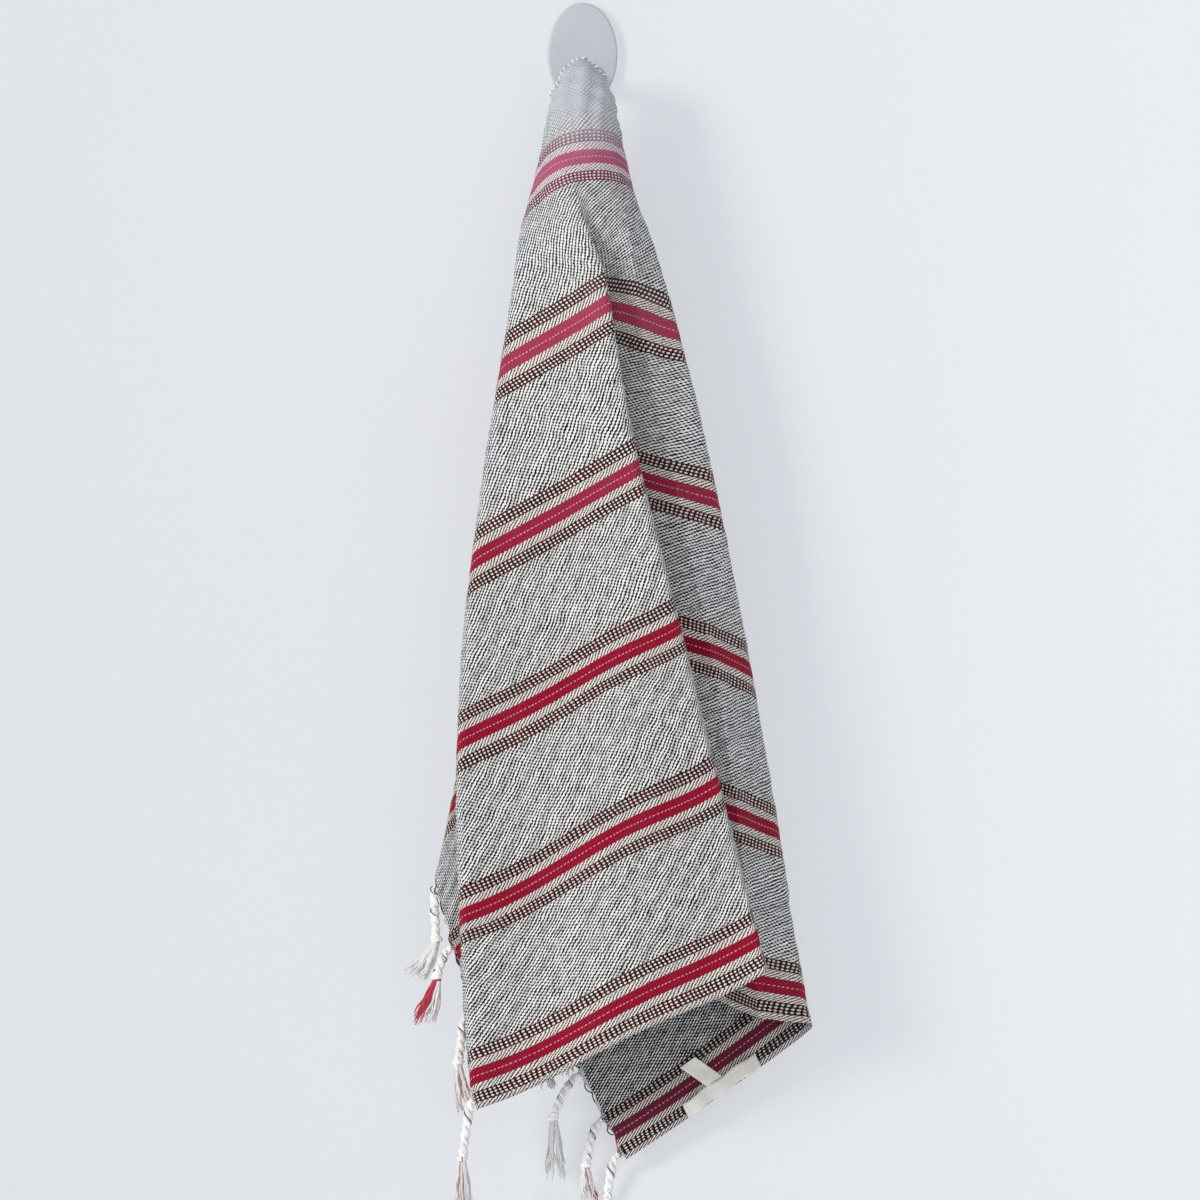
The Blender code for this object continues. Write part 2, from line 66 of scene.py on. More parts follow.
# --- Shader maths -----------------------------------------------------------------------------------
class Value:
    """A node's output that takes part in sums, so that shader maths reads as maths."""

    def __init__(self, graph: "Graph", socket: bpy.types.NodeSocket) -> None:
        """Wraps one output socket of a graph's node."""
        self.graph = graph
        self.socket = socket

    def math(
        self, operation: str, *others: Number, clamp: bool = False, swapped: bool = False
    ) -> "Value":
        """Adds a Math node on this value and others.

        Args:
            operation: The Math node's operation.
            others: The other operands.
            clamp: Whether the result is kept between 0 and 1.
            swapped: Whether the others come first.

        Returns:
            The node's result.
        """
        operands = [*others, self] if swapped else [self, *others]
        settings = {"operation": operation, "use_clamp": clamp}
        return self.graph.value("ShaderNodeMath", 0, settings, dict(enumerate(operands)))

    def __add__(self, other: Number) -> "Value":
        """The sum."""
        return self.math("ADD", other)

    def __sub__(self, other: Number) -> "Value":
        """The difference."""
        return self.math("SUBTRACT", other)

    def __rsub__(self, other: Number) -> "Value":
        """The difference from a number."""
        return self.math("SUBTRACT", other, swapped=True)

    def __mul__(self, other: Number) -> "Value":
        """The product."""
        return self.math("MULTIPLY", other)

    def __truediv__(self, other: Number) -> "Value":
        """The quotient."""
        return self.math("DIVIDE", other)

    __radd__ = __add__

    def above(self, edge: Number, softness: float) -> "Value":
        """1 where this is above an edge and 0 below, over a soft step."""
        return ((self - edge) / softness).math("ADD", 0.5, clamp=True)

    def below(self, edge: Number, softness: float) -> "Value":
        """1 where this is below an edge and 0 above, over a soft step."""
        return ((edge - self) / softness).math("ADD", 0.5, clamp=True)

    def wave(self) -> "Value":
        """The cosine of this many turns, from -1 to 1."""
        return (self * TURN).math("COSINE")


class Graph:
    """A new material and the nodes in it."""

    def __init__(self, name: str) -> None:
        """Starts an empty material.

        Args:
            name: The material's name.
        """
        self.material = bpy.data.materials.new(name)
        self.material.use_nodes = True
        self.tree = self.material.node_tree
        self.tree.nodes.clear()

    def node(self, kind: str, settings: dict | None = None, inputs: dict | None = None) -> bpy.types.Node:
        """Adds one node.

        Args:
            kind: The node's type.
            settings: Its properties, set before its sockets.
            inputs: Numbers, colours or values for its sockets, by index, identifier or name.

        Returns:
            The node.
        """
        node = self.tree.nodes.new(kind)
        for key, setting in (settings or {}).items():
            setattr(node, key, setting)
        by_identifier = {socket.identifier: socket for socket in node.inputs}
        for key, given in (inputs or {}).items():
            socket = by_identifier[key] if key in by_identifier else node.inputs[key]
            if isinstance(given, Value):
                self.tree.links.new(given.socket, socket)
            else:
                socket.default_value = given
        return node

    def value(
        self, kind: str, output: int | str, settings: dict | None = None, inputs: dict | None = None
    ) -> Value:
        """Adds one node and wraps one of its outputs."""
        return Value(self, self.node(kind, settings, inputs).outputs[output])

    def attribute(self, name: str, output: str = "Vector") -> Value:
        """The vector that a mesh attribute holds, or its colour."""
        return self.value("ShaderNodeAttribute", output, {"attribute_name": name})

    def parts(self, vector: Value) -> tuple[Value, Value, Value]:
        """The three parts of a vector."""
        node = self.node("ShaderNodeSeparateXYZ", None, {0: vector})
        return Value(self, node.outputs[0]), Value(self, node.outputs[1]), Value(self, node.outputs[2])

    def vector(self, x: Number, y: Number, z: Number = 0.0) -> Value:
        """A vector of three values."""
        return self.value("ShaderNodeCombineXYZ", 0, None, {0: x, 1: y, 2: z})

    def object_place(self) -> Value:
        """The place on the object."""
        return self.value("ShaderNodeTexCoord", "Object")

    def noise(self, place: Value, scale: float, detail: float = 2.0, roughness: float = 0.5) -> Value:
        """Soft noise about 0, mostly between -0.5 and 0.5."""
        inputs = {"Vector": place, "Scale": scale, "Detail": detail, "Roughness": roughness}
        return self.value("ShaderNodeTexNoise", 0, None, inputs) - 0.5

    def streaks(
        self, along: Value, down: Value, beats: tuple[float, float], detail: float = 1.0
    ) -> Value:
        """Noise that is drawn out one way, with its own beats along and down the cloth."""
        return self.noise(self.vector(along * beats[0], down * beats[1]), 1.0, detail)

    def mix(self, factor: Number, first: Value | Color, second: Value | Color) -> Value:
        """A colour between two, the second where the factor is 1.

        Args:
            factor: How much of the second there is.
            first: The colour where the factor is 0.
            second: The colour where it is 1.

        Returns:
            The colour.
        """
        ends = [end if isinstance(end, Value) else (*end, 1.0) for end in (first, second)]
        inputs = {"Factor_Float": factor, "A_Color": ends[0], "B_Color": ends[1]}
        return self.value("ShaderNodeMix", 2, {"data_type": "RGBA"}, inputs)

    def shade(self, color: Value, factor: Value) -> Value:
        """A colour made darker or lighter by a factor.

        Args:
            color: The colour.
            factor: What its parts are multiplied by.

        Returns:
            The new colour.
        """
        grey = self.value("ShaderNodeCombineColor", 0, None, {0: factor, 1: factor, 2: factor})
        settings = {"data_type": "RGBA", "blend_type": "MULTIPLY"}
        inputs = {"Factor_Float": 1.0, "A_Color": color, "B_Color": grey}
        return self.value("ShaderNodeMix", 2, settings, inputs)

    def bump(self, height: Value, distance: float, strength: float) -> Value:
        """A normal for a relief of that height in metres where the value is 1."""
        inputs = {"Height": height, "Distance": distance, "Strength": strength}
        return self.value("ShaderNodeBump", "Normal", None, inputs)

    def finish(self, **inputs: "Number | Color") -> bpy.types.Material:
        """Adds the surface shader and the output.

        Args:
            inputs: The Principled shader's sockets, with _ for a space and small letters.

        Returns:
            The finished material.
        """
        named = {
            key.replace("_", " ").title().replace("Ior", "IOR"): given for key, given in inputs.items()
        }
        shader = self.value("ShaderNodeBsdfPrincipled", 0, None, named)
        self.node("ShaderNodeOutputMaterial", None, {"Surface": shader})
        return self.material


# --- The stripes ------------------------------------------------------------------------------------
class Yarn(Enum):
    """The dyed yarns of the warp."""

    WHITE = "white"
    CREAM = "cream"
    MAROON = "maroon"
    CRIMSON = "crimson"


@dataclass(frozen=True)
class StripePlan:
    """Where the stripes lie across the cloth, in metres from the upper selvedge."""

    centres: tuple[float, ...] = (0.055, 0.134, 0.217, 0.3025, 0.389, 0.4765)
    crimson_edge: float = 0.00415  # from a group's centre
    cream_edge: float = 0.0085
    check_edge: float = 0.0148
    dash_edge: float = 0.00024  # the light pick along each crimson stripe
    selvedge: float = 0.0035
    width: float = 0.495

    def from_centre(self, down: float) -> float:
        """How far a place lies from the centre of its group of stripes."""
        return min(abs(down - centre) for centre in self.centres)

    def yarn_at(self, down: float) -> Yarn:
        """The warp yarn at a place across the cloth.

        Args:
            down: Metres from the upper selvedge.

        Returns:
            The yarn.
        """
        off = self.from_centre(down)
        if off < self.crimson_edge:
            return Yarn.CRIMSON
        if off < self.cream_edge or min(down, self.width - down) < self.selvedge:
            return Yarn.CREAM
        return Yarn.MAROON if off < self.check_edge else Yarn.WHITE


# --- Finishes ---------------------------------------------------------------------------------------
class Step(NamedTuple):
    """A soft step: the value in its middle and how far it spreads."""

    edge: float
    softness: float


@dataclass(frozen=True)
class HandwovenCotton:
    """Handwoven cotton: white warp on a near-black weft, with crimson, cream and checked stripes."""

    plan: StripePlan
    white: Color = (0.97, 0.975, 0.97)
    warm_white: Color = (0.98, 0.93, 0.87)
    ink: Color = (0.010, 0.011, 0.015)
    cream: Color = (0.98, 0.91, 0.83)
    rose_cream: Color = (0.92, 0.84, 0.87)
    cream_shadow: Color = (0.035, 0.010, 0.012)
    crimson: Color = (0.35, 0.001, 0.025)
    crimson_light: Color = (0.58, 0.020, 0.100)
    # the red of the wrong side, darker partly from its weave and partly from painted shade
    shaded_wrong_crimson: Color = (0.16, 0.012, 0.040)
    rose: Color = (0.53, 0.090, 0.19)  # the red of the stripe nearest to the hook
    dash: Color = (0.86, 0.58, 0.60)
    maroon: Color = (0.085, 0.007, 0.013)
    maroon_black: Color = (0.014, 0.004, 0.006)
    plum: Color = (0.20, 0.020, 0.070)
    # painted highlight: the pale bluish bloom of light near the hook
    painted_bloom: Color = (0.55, 0.565, 0.60)
    weft_repeat: float = 0.00245  # along the stripes
    warp_repeat: float = 0.0018  # across them
    ground_scale: float = 1.18  # how much coarser the ground is than the stripes
    wander: tuple[float, float] = (1.6, 0.9)  # slow drift of the weave along and down, in repeats
    tremble: float = 0.35  # quick drift of the weave, in repeats
    slow_beat: float = 55.0  # to the metre
    quick_beat: float = 480.0
    pick_beats: tuple[float, float] = (700.0, 45.0)
    end_beats: tuple[float, float] = (30.0, 1100.0)
    crinkle_beats: tuple[float, float] = (62.0, 190.0)
    stroke_beats: tuple[float, float] = (0.75, 0.26)  # to the repeat
    clump_beats: tuple[float, float] = (0.34, 0.13)
    ragged_yarn: float = 0.0006  # how far a stripe's edge wanders
    ragged_twill: float = 0.00018
    edge_soft: float = 0.00022
    ground_step: Step = Step(0.08, 0.09)
    cream_step: Step = Step(0.36, 0.16)
    dot_step: Step = Step(0.66, 0.24)
    plum_step: Step = Step(0.62, 0.30)
    line_step: Step = Step(0.0, 0.3)
    fleck_step: Step = Step(0.55, 0.9)
    dash_step: Step = Step(-0.1, 0.5)
    warm_reach: Step = Step(0.022, 0.014)  # from the centre of a group of stripes
    rose_reach: Step = Step(0.095, 0.05)  # from the hook, and so are the next three
    rosy_reach: Step = Step(0.230, 0.180)
    painted_bloom_reach: Step = Step(0.042, 0.024)
    thin_painted_bloom_reach: Step = Step(0.110, 0.100)
    relief_height: float = 0.00055

    def build(self) -> bpy.types.Material:
        """Draws the weave in the flat places that the cloth's mesh carries.

        Returns:
            The cloth's material.
        """
        g = Graph("striped_cotton")
        flat = g.attribute("flat")
        along, down, wrong = g.parts(flat)

        slow = g.noise(flat, self.slow_beat)
        quick = g.noise(flat, self.quick_beat)
        picks = g.streaks(along, down, self.pick_beats)
        ends = g.streaks(along, down, self.end_beats)
        across_turns = along / self.weft_repeat + slow * self.wander[0] + quick * self.tremble
        down_turns = down / self.warp_repeat + slow * self.wander[1] + quick * self.tremble
        across_turns = across_turns * (1.0 - wrong * 2.0)
        across_lines, along_lines = across_turns + down_turns, down_turns - across_turns
        twill = across_lines.wave()
        counter = along_lines.wave()
        strokes = g.streaks(across_lines, along_lines, self.stroke_beats)
        clumps = g.streaks(across_lines, along_lines, self.clump_beats, 2.0)
        crinkle = g.streaks(along, down, self.crinkle_beats, 2.0)

        off = (down - self.plan.centres[0]).math("ABSOLUTE")
        for centre in self.plan.centres[1:]:
            off = off.math("MINIMUM", (down - centre).math("ABSOLUTE"))
        ragged = off + quick * self.ragged_yarn + twill * self.ragged_twill
        is_crimson, in_cream, in_check = (
            ragged.below(edge, self.edge_soft)
            for edge in (self.plan.crimson_edge, self.plan.cream_edge, self.plan.check_edge)
        )
        selvedge = down.math("MINIMUM", self.plan.width - down).below(self.plan.selvedge, self.edge_soft)

        coarse_twill = (across_lines / self.ground_scale).wave()
        coarse_counter = (along_lines / self.ground_scale).wave()
        tone = coarse_twill * 0.75 + coarse_counter * (0.45 + slow * 0.3) + strokes * 1.1 + clumps * 0.5
        tone = tone + ends * 0.35 + quick * 0.35
        white = g.mix(off.below(*self.warm_reach) * 0.7, self.white, self.warm_white)
        # The wrong side is drawn darker from here on: more ink, darker cream, check lines and red, fewer
        # dots and flecks. This is partly its weave, where more dark weft shows, and partly painted shade,
        # as the wrong side that shows hangs in shadow.
        edge, soft = self.ground_step
        ground = g.mix(tone.above(edge - wrong * 0.30 + slow * 0.15, soft), white, self.ink)
        cream_tone = twill + counter * 0.25 + quick * 0.9
        edge, soft = self.cream_step
        cream = g.mix(cream_tone.above(edge - wrong * 0.26, soft), self.cream, self.cream_shadow)
        row_turns = (off - (self.plan.cream_edge + 0.75 * self.warp_repeat)) / self.warp_repeat
        edge, soft = self.dot_step
        dots = (across_turns.wave() + row_turns.wave() + quick * 0.8).above(edge + wrong * 0.2, soft)
        from_hook = (along * along + down * down).math("SQRT")
        near_hook = from_hook.below(*self.rose_reach)
        lines = g.mix(ends.above(*self.line_step) * (1.0 - wrong * 0.7), self.maroon_black, self.maroon)
        lines = g.mix(near_hook, lines, self.plum)
        rose_twill = g.mix(cream_tone.above(*self.plum_step), self.rose_cream, self.plum)
        cream = g.mix(near_hook * 0.9, cream, rose_twill)
        check = g.mix(dots, lines, g.mix(near_hook, self.cream, self.rose_cream))
        fleck = (twill * 0.30 + quick * 1.3 + slow * 0.8).above(*self.fleck_step)
        rosy = near_hook.math("MAXIMUM", from_hook.below(*self.rosy_reach) * 0.55)
        dyed = g.mix(rosy, g.mix(wrong, self.crimson, self.shaded_wrong_crimson), self.rose)
        red = g.mix(fleck * (1.0 - wrong * 0.7), dyed, self.crimson_light)
        dash_turns = across_turns * 1.12 + down_turns * 0.5
        dash = off.below(self.plan.dash_edge, self.edge_soft) * dash_turns.wave().above(*self.dash_step)
        red = g.mix(dash * 0.85, red, self.dash)

        color = g.mix(selvedge, ground, cream)
        color = g.mix(in_check, color, check)
        color = g.mix(in_cream, color, cream)
        color = g.mix(is_crimson, color, red)
        # Painted highlight: near the hook the colour is washed pale, as if the light bloomed on the
        # bunched cloth; the same share softens the relief below.
        pale = from_hook.below(*self.painted_bloom_reach) * 0.85 + from_hook.below(*self.thin_painted_bloom_reach) * 0.08
        color = g.mix(pale, color, self.painted_bloom)

        relief = twill * -0.5 + counter * -0.35 + strokes * -0.5 + picks * 0.5 + quick
        relief = relief * (1.0 - pale * 0.4) + crinkle * 2.6
        return g.finish(
            base_color=color,
            roughness=0.88,
            sheen_weight=0.06,
            sheen_roughness=0.6,
            specular_ior_level=0.12,
            normal=g.bump(relief, self.relief_height, 0.9),
        )


@dataclass(frozen=True)
class FringeYarn:
    """Soft two-ply cotton yarn in the colour that each strand carries."""

    fibre_pitch: float = 0.0011  # along the strand, between the turns of its fibres
    fuzz_beat: float = 1500.0  # to the metre
    dirt_beat: float = 90.0

    def build(self) -> bpy.types.Material:
        """Draws the slanting fibres of the yarn.

        Returns:
            The yarn's material.
        """
        g = Graph("fringe_yarn")
        along, around, _ = g.parts(g.attribute("strand"))
        fibre = (along / self.fibre_pitch + around * 2.0).wave()
        fuzz = g.noise(g.object_place(), self.fuzz_beat, 3.0)
        dirt = g.noise(g.object_place(), self.dirt_beat)
        color = g.shade(g.attribute("tint", "Color"), fibre * 0.10 + fuzz * 0.45 + dirt * 0.25 + 1.0)
        return g.finish(
            base_color=color,
            roughness=0.9,
            sheen_weight=0.35,
            sheen_roughness=0.5,
            specular_ior_level=0.2,
            normal=g.bump(fibre * 0.5 + fuzz, 0.0002, 0.7),
        )


@dataclass(frozen=True)
class CottonTape:
    """Plain woven label tape, left blank."""

    base: Color = (0.92, 0.89, 0.83)
    shadow: Color = (0.75, 0.72, 0.65)
    rib: float = 0.00062  # between the ribs across the tape
    soil_beat: float = 160.0  # to the metre

    def build(self) -> bpy.types.Material:
        """Draws the tape's fine ribs and a little soiling.

        Returns:
            The tape's material.
        """
        g = Graph("label_cotton")
        flat = g.attribute("flat")
        along, down, _ = g.parts(flat)
        ribs = (along / self.rib).wave() * 0.6 + (down / (self.rib * 0.6)).wave() * 0.4
        soil = g.noise(flat, self.soil_beat, 3.0)
        color = g.mix((ribs * 0.22 + soil * 0.9).above(0.25, 1.1), self.base, self.shadow)
        return g.finish(
            base_color=color,
            roughness=0.75,
            sheen_weight=0.1,
            specular_ior_level=0.3,
            normal=g.bump(ribs + soil, 0.00008, 0.6),
        )


@dataclass(frozen=True)
class SatinPaint:
    """Pale grey satin paint on the hook."""

    base: Color = (0.535, 0.540, 0.590)
    worn: Color = (0.60, 0.605, 0.64)
    cloud_beat: float = 45.0  # to the metre
    grain_beat: float = 1400.0

    def build(self) -> bpy.types.Material:
        """Mixes the paint with a faint unevenness.

        Returns:
            The hook's material.
        """
        g = Graph("hook_paint")
        place = g.object_place()
        cloudy = g.noise(place, self.cloud_beat, 3.0)
        grain = g.noise(place, self.grain_beat)
        return g.finish(
            base_color=g.mix((cloudy + grain * 0.3).above(0.1, 0.8), self.base, self.worn),
            roughness=grain * 0.08 + cloudy * 0.1 + 0.46,
            specular_ior_level=0.4,
            normal=g.bump(grain, 0.00006, 0.35),
        )


@dataclass(frozen=True)
class RoomPaint:
    """Matt off-white paint of the wall and the floor, of which only the front shows, with a painted glow
    that lightens the shadows on them.
    """

    base: Color = (0.29, 0.295, 0.30)
    painted_glow_left: Color = (0.41, 0.425, 0.455)  # painted light: the wall glows by itself, darker on the left, which fills in the towel's shadow on it
    painted_glow_right: Color = (0.545, 0.56, 0.59)
    painted_glow_turn: float = 0.45  # metres from the hook to where the painted glow is even again
    paler: float = 1.04  # the lighter patches of the paint

    def build(self) -> bpy.types.Material:
        """Mixes the wall paint with a painted glow, and lets light and sight through from behind.

        Returns:
            The room's material.
        """
        g = Graph("room_paint")
        place = g.object_place()
        uneven = g.noise(place, 3.0, 3.0)
        color = g.mix(uneven.above(0.0, 0.8), self.base, tuple(part * self.paler for part in self.base))
        # Painted light: an emission, darker on the left and brighter on the right, stands in for the
        # room's light and washes out the towel's shadow on the wall.
        glow = g.mix(g.parts(place)[0].above(0.0, 2 * self.painted_glow_turn), self.painted_glow_left, self.painted_glow_right)
        inputs = {
            "Base Color": color,
            "Roughness": 0.85,
            "Emission Color": glow,
            "Emission Strength": 1.0,
        }
        front = g.value("ShaderNodeBsdfPrincipled", 0, None, inputs)
        behind = g.value("ShaderNodeBsdfTransparent", 0)
        side = g.value("ShaderNodeNewGeometry", "Backfacing")
        surface = g.value("ShaderNodeMixShader", 0, None, {0: side, 1: front, 2: behind})
        g.node("ShaderNodeOutputMaterial", None, {"Surface": surface})
        return g.material


# --- Meshes -----------------------------------------------------------------------------------------
def unit(rows: np.ndarray) -> np.ndarray:
    """Vectors of length 1 that point the same ways, in the last axis."""
    return rows / np.maximum(np.linalg.norm(rows, axis=-1, keepdims=True), 1e-12)


def arc_length(path: np.ndarray) -> np.ndarray:
    """How far each point of a path lies from its start, along the path."""
    return np.concatenate(([0.0], np.cumsum(np.linalg.norm(np.diff(path, axis=0), axis=1))))


def circle(turn: np.ndarray) -> np.ndarray:
    """Points of the level circle of radius 1, at angles in radians."""
    return np.stack((np.cos(turn), np.sin(turn), np.zeros(len(turn))), axis=1)


def deselect() -> None:
    """Leaves nothing selected."""
    if bpy.context.object is not None and bpy.context.object.mode != "OBJECT":
        bpy.ops.object.mode_set(mode="OBJECT")
    bpy.ops.object.select_all(action="DESELECT")


def add_piece(
    name: str,
    points: np.ndarray,
    faces: list[tuple[int, ...]],
    material: bpy.types.Material,
    attributes: dict[str, np.ndarray],
) -> bpy.types.Object:
    """Makes a smooth mesh object from points and faces.

    Args:
        name: The piece's name.
        points: Its points, one row each.
        faces: Its faces, as indices of points.
        material: Its material.
        attributes: Values for each point, three numbers each, or four for a colour.

    Returns:
        The object, at the origin.
    """
    mesh = bpy.data.meshes.new(name)
    mesh.from_pydata(points.tolist(), [], faces)
    for key, rows in attributes.items():
        is_color = rows.shape[1] == 4
        attribute = mesh.attributes.new(key, "FLOAT_COLOR" if is_color else "FLOAT_VECTOR", "POINT")
        attribute.data.foreach_set("color" if is_color else "vector", rows.astype(np.float32).ravel())
    mesh.materials.append(material)
    mesh.polygons.foreach_set("use_smooth", [True] * len(mesh.polygons))
    mesh.update()
    piece = bpy.data.objects.new(name, mesh)
    bpy.context.scene.collection.objects.link(piece)
    return piece


def grid_faces(columns: int, rows: int, first: int, flipped: bool) -> list[tuple[int, ...]]:
    """Quads over a grid of points that is stored column by column.

    Args:
        columns: How many columns there are.
        rows: How many points a column has.
        first: The index of the first point.
        flipped: Whether the faces look the other way.

    Returns:
        The faces.
    """
    faces = []
    for column in range(columns - 1):
        here = first + column * rows
        for row in range(rows - 1):
            a, b = here + row, here + row + 1
            quad = (a, b, b + rows, a + rows)
            faces.append(quad[::-1] if flipped else quad)
    return faces


def sheet_mesh(middle: np.ndarray, out: np.ndarray, flat: np.ndarray, thickness: float) -> tuple:
    """A closed thin sheet round a grid of points.

    Args:
        middle: The middle surface, columns by rows by three.
        out: The direction out of the wrong side at each of its points.
        flat: The flat place of each point, along and down.
        thickness: The sheet's thickness.

    Returns:
        Its points, its faces and its flat places with 0 on the right side and 1 on the wrong side.
    """
    columns, rows = middle.shape[:2]
    count = columns * rows
    shells = [(middle + out * thickness * side).reshape(-1, 3) for side in (-0.5, 0.5)]
    places = [np.column_stack((flat.reshape(-1, 2), np.full(count, wrong))) for wrong in (0.0, 1.0)]
    faces = grid_faces(columns, rows, 0, False) + grid_faces(columns, rows, count, True)
    left = list(range(rows))
    bottom = [column * rows + rows - 1 for column in range(1, columns)]
    right = [count - 1 - row for row in range(1, rows)]
    top = [column * rows for column in range(columns - 2, -1, -1)]
    rim = left + bottom + right + top
    for a, b in zip(rim[:-1], rim[1:]):
        faces.append((b, a, a + count, b + count))
    return np.concatenate(shells), faces, np.concatenate(places)


# --- The hanging surface ----------------------------------------------------------------------------
class Fold(NamedTuple):
    """One fold at one distance from the hook: its flat angle and the middle of its turn."""

    angle: float  # degrees
    across: float  # metres to the right of the hook
    forward: float  # metres in front of the hook point
    turn: float  # metres between the layers that the fold joins


class Back(NamedTuple):
    """The hidden pleats at one distance from the hook."""

    left_inner: float  # metres to the right of the hook, where the left pleats turn
    right_inner: float  # the same for the right pleats
    rear: float  # metres in front of the hook point, of the layer next to the wall


class Ripple(NamedTuple):
    """A soft trough or ridge in the cloth, between two flat places."""

    from_along: float
    from_down: float
    to_along: float
    to_down: float
    width: float
    height: float  # towards the wrong side where it is above 0


class Bow(NamedTuple):
    """A place where the stripes run a little lower in the cloth than they were set up on the loom."""

    along: float
    down: float
    reach_along: float
    reach_down: float
    shift: float  # metres down the cloth


FOLD_NAMES = ("flap", "tuck", "left edge", "crease", "valley", "shoulder", "right edge")
FOLDS = {
    0.100: (
        Fold(-52.0, -0.0270, -0.012, 0.004),
        Fold(-47.0, -0.0310, -0.006, 0.003),
        Fold(-41.7, -0.0335, 0.003, 0.006),
        Fold(-12.5, 0.0085, 0.031, 0.004),
        Fold(-6.1, 0.0040, 0.022, 0.003),
        Fold(12.0, 0.0240, 0.021, 0.000),
        Fold(24.0, 0.0360, 0.000, 0.006),
    ),
    0.180: (
        Fold(-55.0, -0.0450, -0.009, 0.006),
        Fold(-50.0, -0.0390, 0.001, 0.005),
        Fold(-43.4, -0.0465, 0.015, 0.010),
        Fold(-20.3, 0.0200, 0.039, 0.008),
        Fold(7.1, -0.0300, 0.014, 0.007),
        Fold(27.6, 0.0380, 0.020, 0.000),
        Fold(33.6, 0.0580, 0.003, 0.009),
    ),
    0.400: (
        Fold(-46.0, -0.0686, 0.009, 0.008),
        Fold(-43.0, -0.0660, 0.019, 0.006),
        Fold(-40.5, -0.0700, 0.032, 0.010),
        Fold(-18.7, 0.0742, 0.045, 0.009),
        Fold(2.2, -0.0490, 0.027, 0.009),
        Fold(26.5, 0.0820, 0.022, 0.000),
        Fold(31.6, 0.1020, -0.008, 0.010),
    ),
    0.600: (
        Fold(-42.5, -0.1140, 0.010, 0.008),
        Fold(-36.0, -0.0640, 0.020, 0.006),
        Fold(-33.8, -0.0610, 0.034, 0.010),
        Fold(-18.2, 0.1240, 0.048, 0.009),
        Fold(3.7, -0.0420, 0.028, 0.009),
        Fold(25.0, 0.1040, 0.020, 0.000),
        Fold(26.8, 0.1330, -0.008, 0.010),
    ),
}
BACKS = {
    0.100: Back(-0.0090, 0.0060, -0.029),
    0.180: Back(-0.0165, 0.0130, -0.037),
    0.400: Back(-0.0020, 0.0060, -0.042),
    0.600: Back(-0.0020, -0.0380, -0.042),
}
RIPPLES = (
    Ripple(-0.075, 0.060, -0.130, 0.160, 0.012, 0.0012),
    Ripple(-0.040, 0.110, -0.075, 0.230, 0.010, -0.0010),
    Ripple(-0.120, 0.190, -0.190, 0.330, 0.014, 0.0014),
    Ripple(-0.200, 0.300, -0.260, 0.470, 0.016, -0.0016),
    Ripple(-0.120, 0.330, -0.170, 0.495, 0.015, 0.0018),
    Ripple(-0.230, 0.400, -0.300, 0.480, 0.012, 0.0014),
    Ripple(0.060, 0.150, 0.120, 0.330, 0.010, 0.0010),
    Ripple(0.110, 0.330, 0.200, 0.480, 0.013, -0.0014),
    Ripple(0.240, 0.430, 0.330, 0.480, 0.012, 0.0013),
)
BOWS = (
    Bow(0.000, 0.055, 0.100, 0.030, 0.0052),
    Bow(0.090, 0.134, 0.045, 0.035, 0.0056),
    Bow(0.020, 0.134, 0.030, 0.035, 0.0032),
    Bow(-0.050, 0.134, 0.060, 0.030, 0.0022),
    Bow(-0.085, 0.217, 0.055, 0.030, 0.0026),
    Bow(0.060, 0.217, 0.050, 0.030, -0.0018),
    Bow(-0.115, 0.3025, 0.065, 0.030, 0.0036),
    Bow(-0.215, 0.3025, 0.050, 0.030, -0.0018),
    Bow(-0.155, 0.389, 0.060, 0.030, 0.0026),
    Bow(-0.290, 0.389, 0.030, 0.030, 0.0020),
    Bow(-0.275, 0.4765, 0.060, 0.014, 0.0010),
    Bow(-0.190, 0.4765, 0.030, 0.014, -0.0006),
    Bow(0.340, 0.4765, 0.040, 0.020, 0.0012),
)


def smooth_step(value: np.ndarray, low: float, high: float) -> np.ndarray:
    """0 below low, 1 above high, and a smooth climb between."""
    t = np.clip((value - low) / (high - low), 0.0, 1.0)
    return t * t * (3.0 - 2.0 * t)


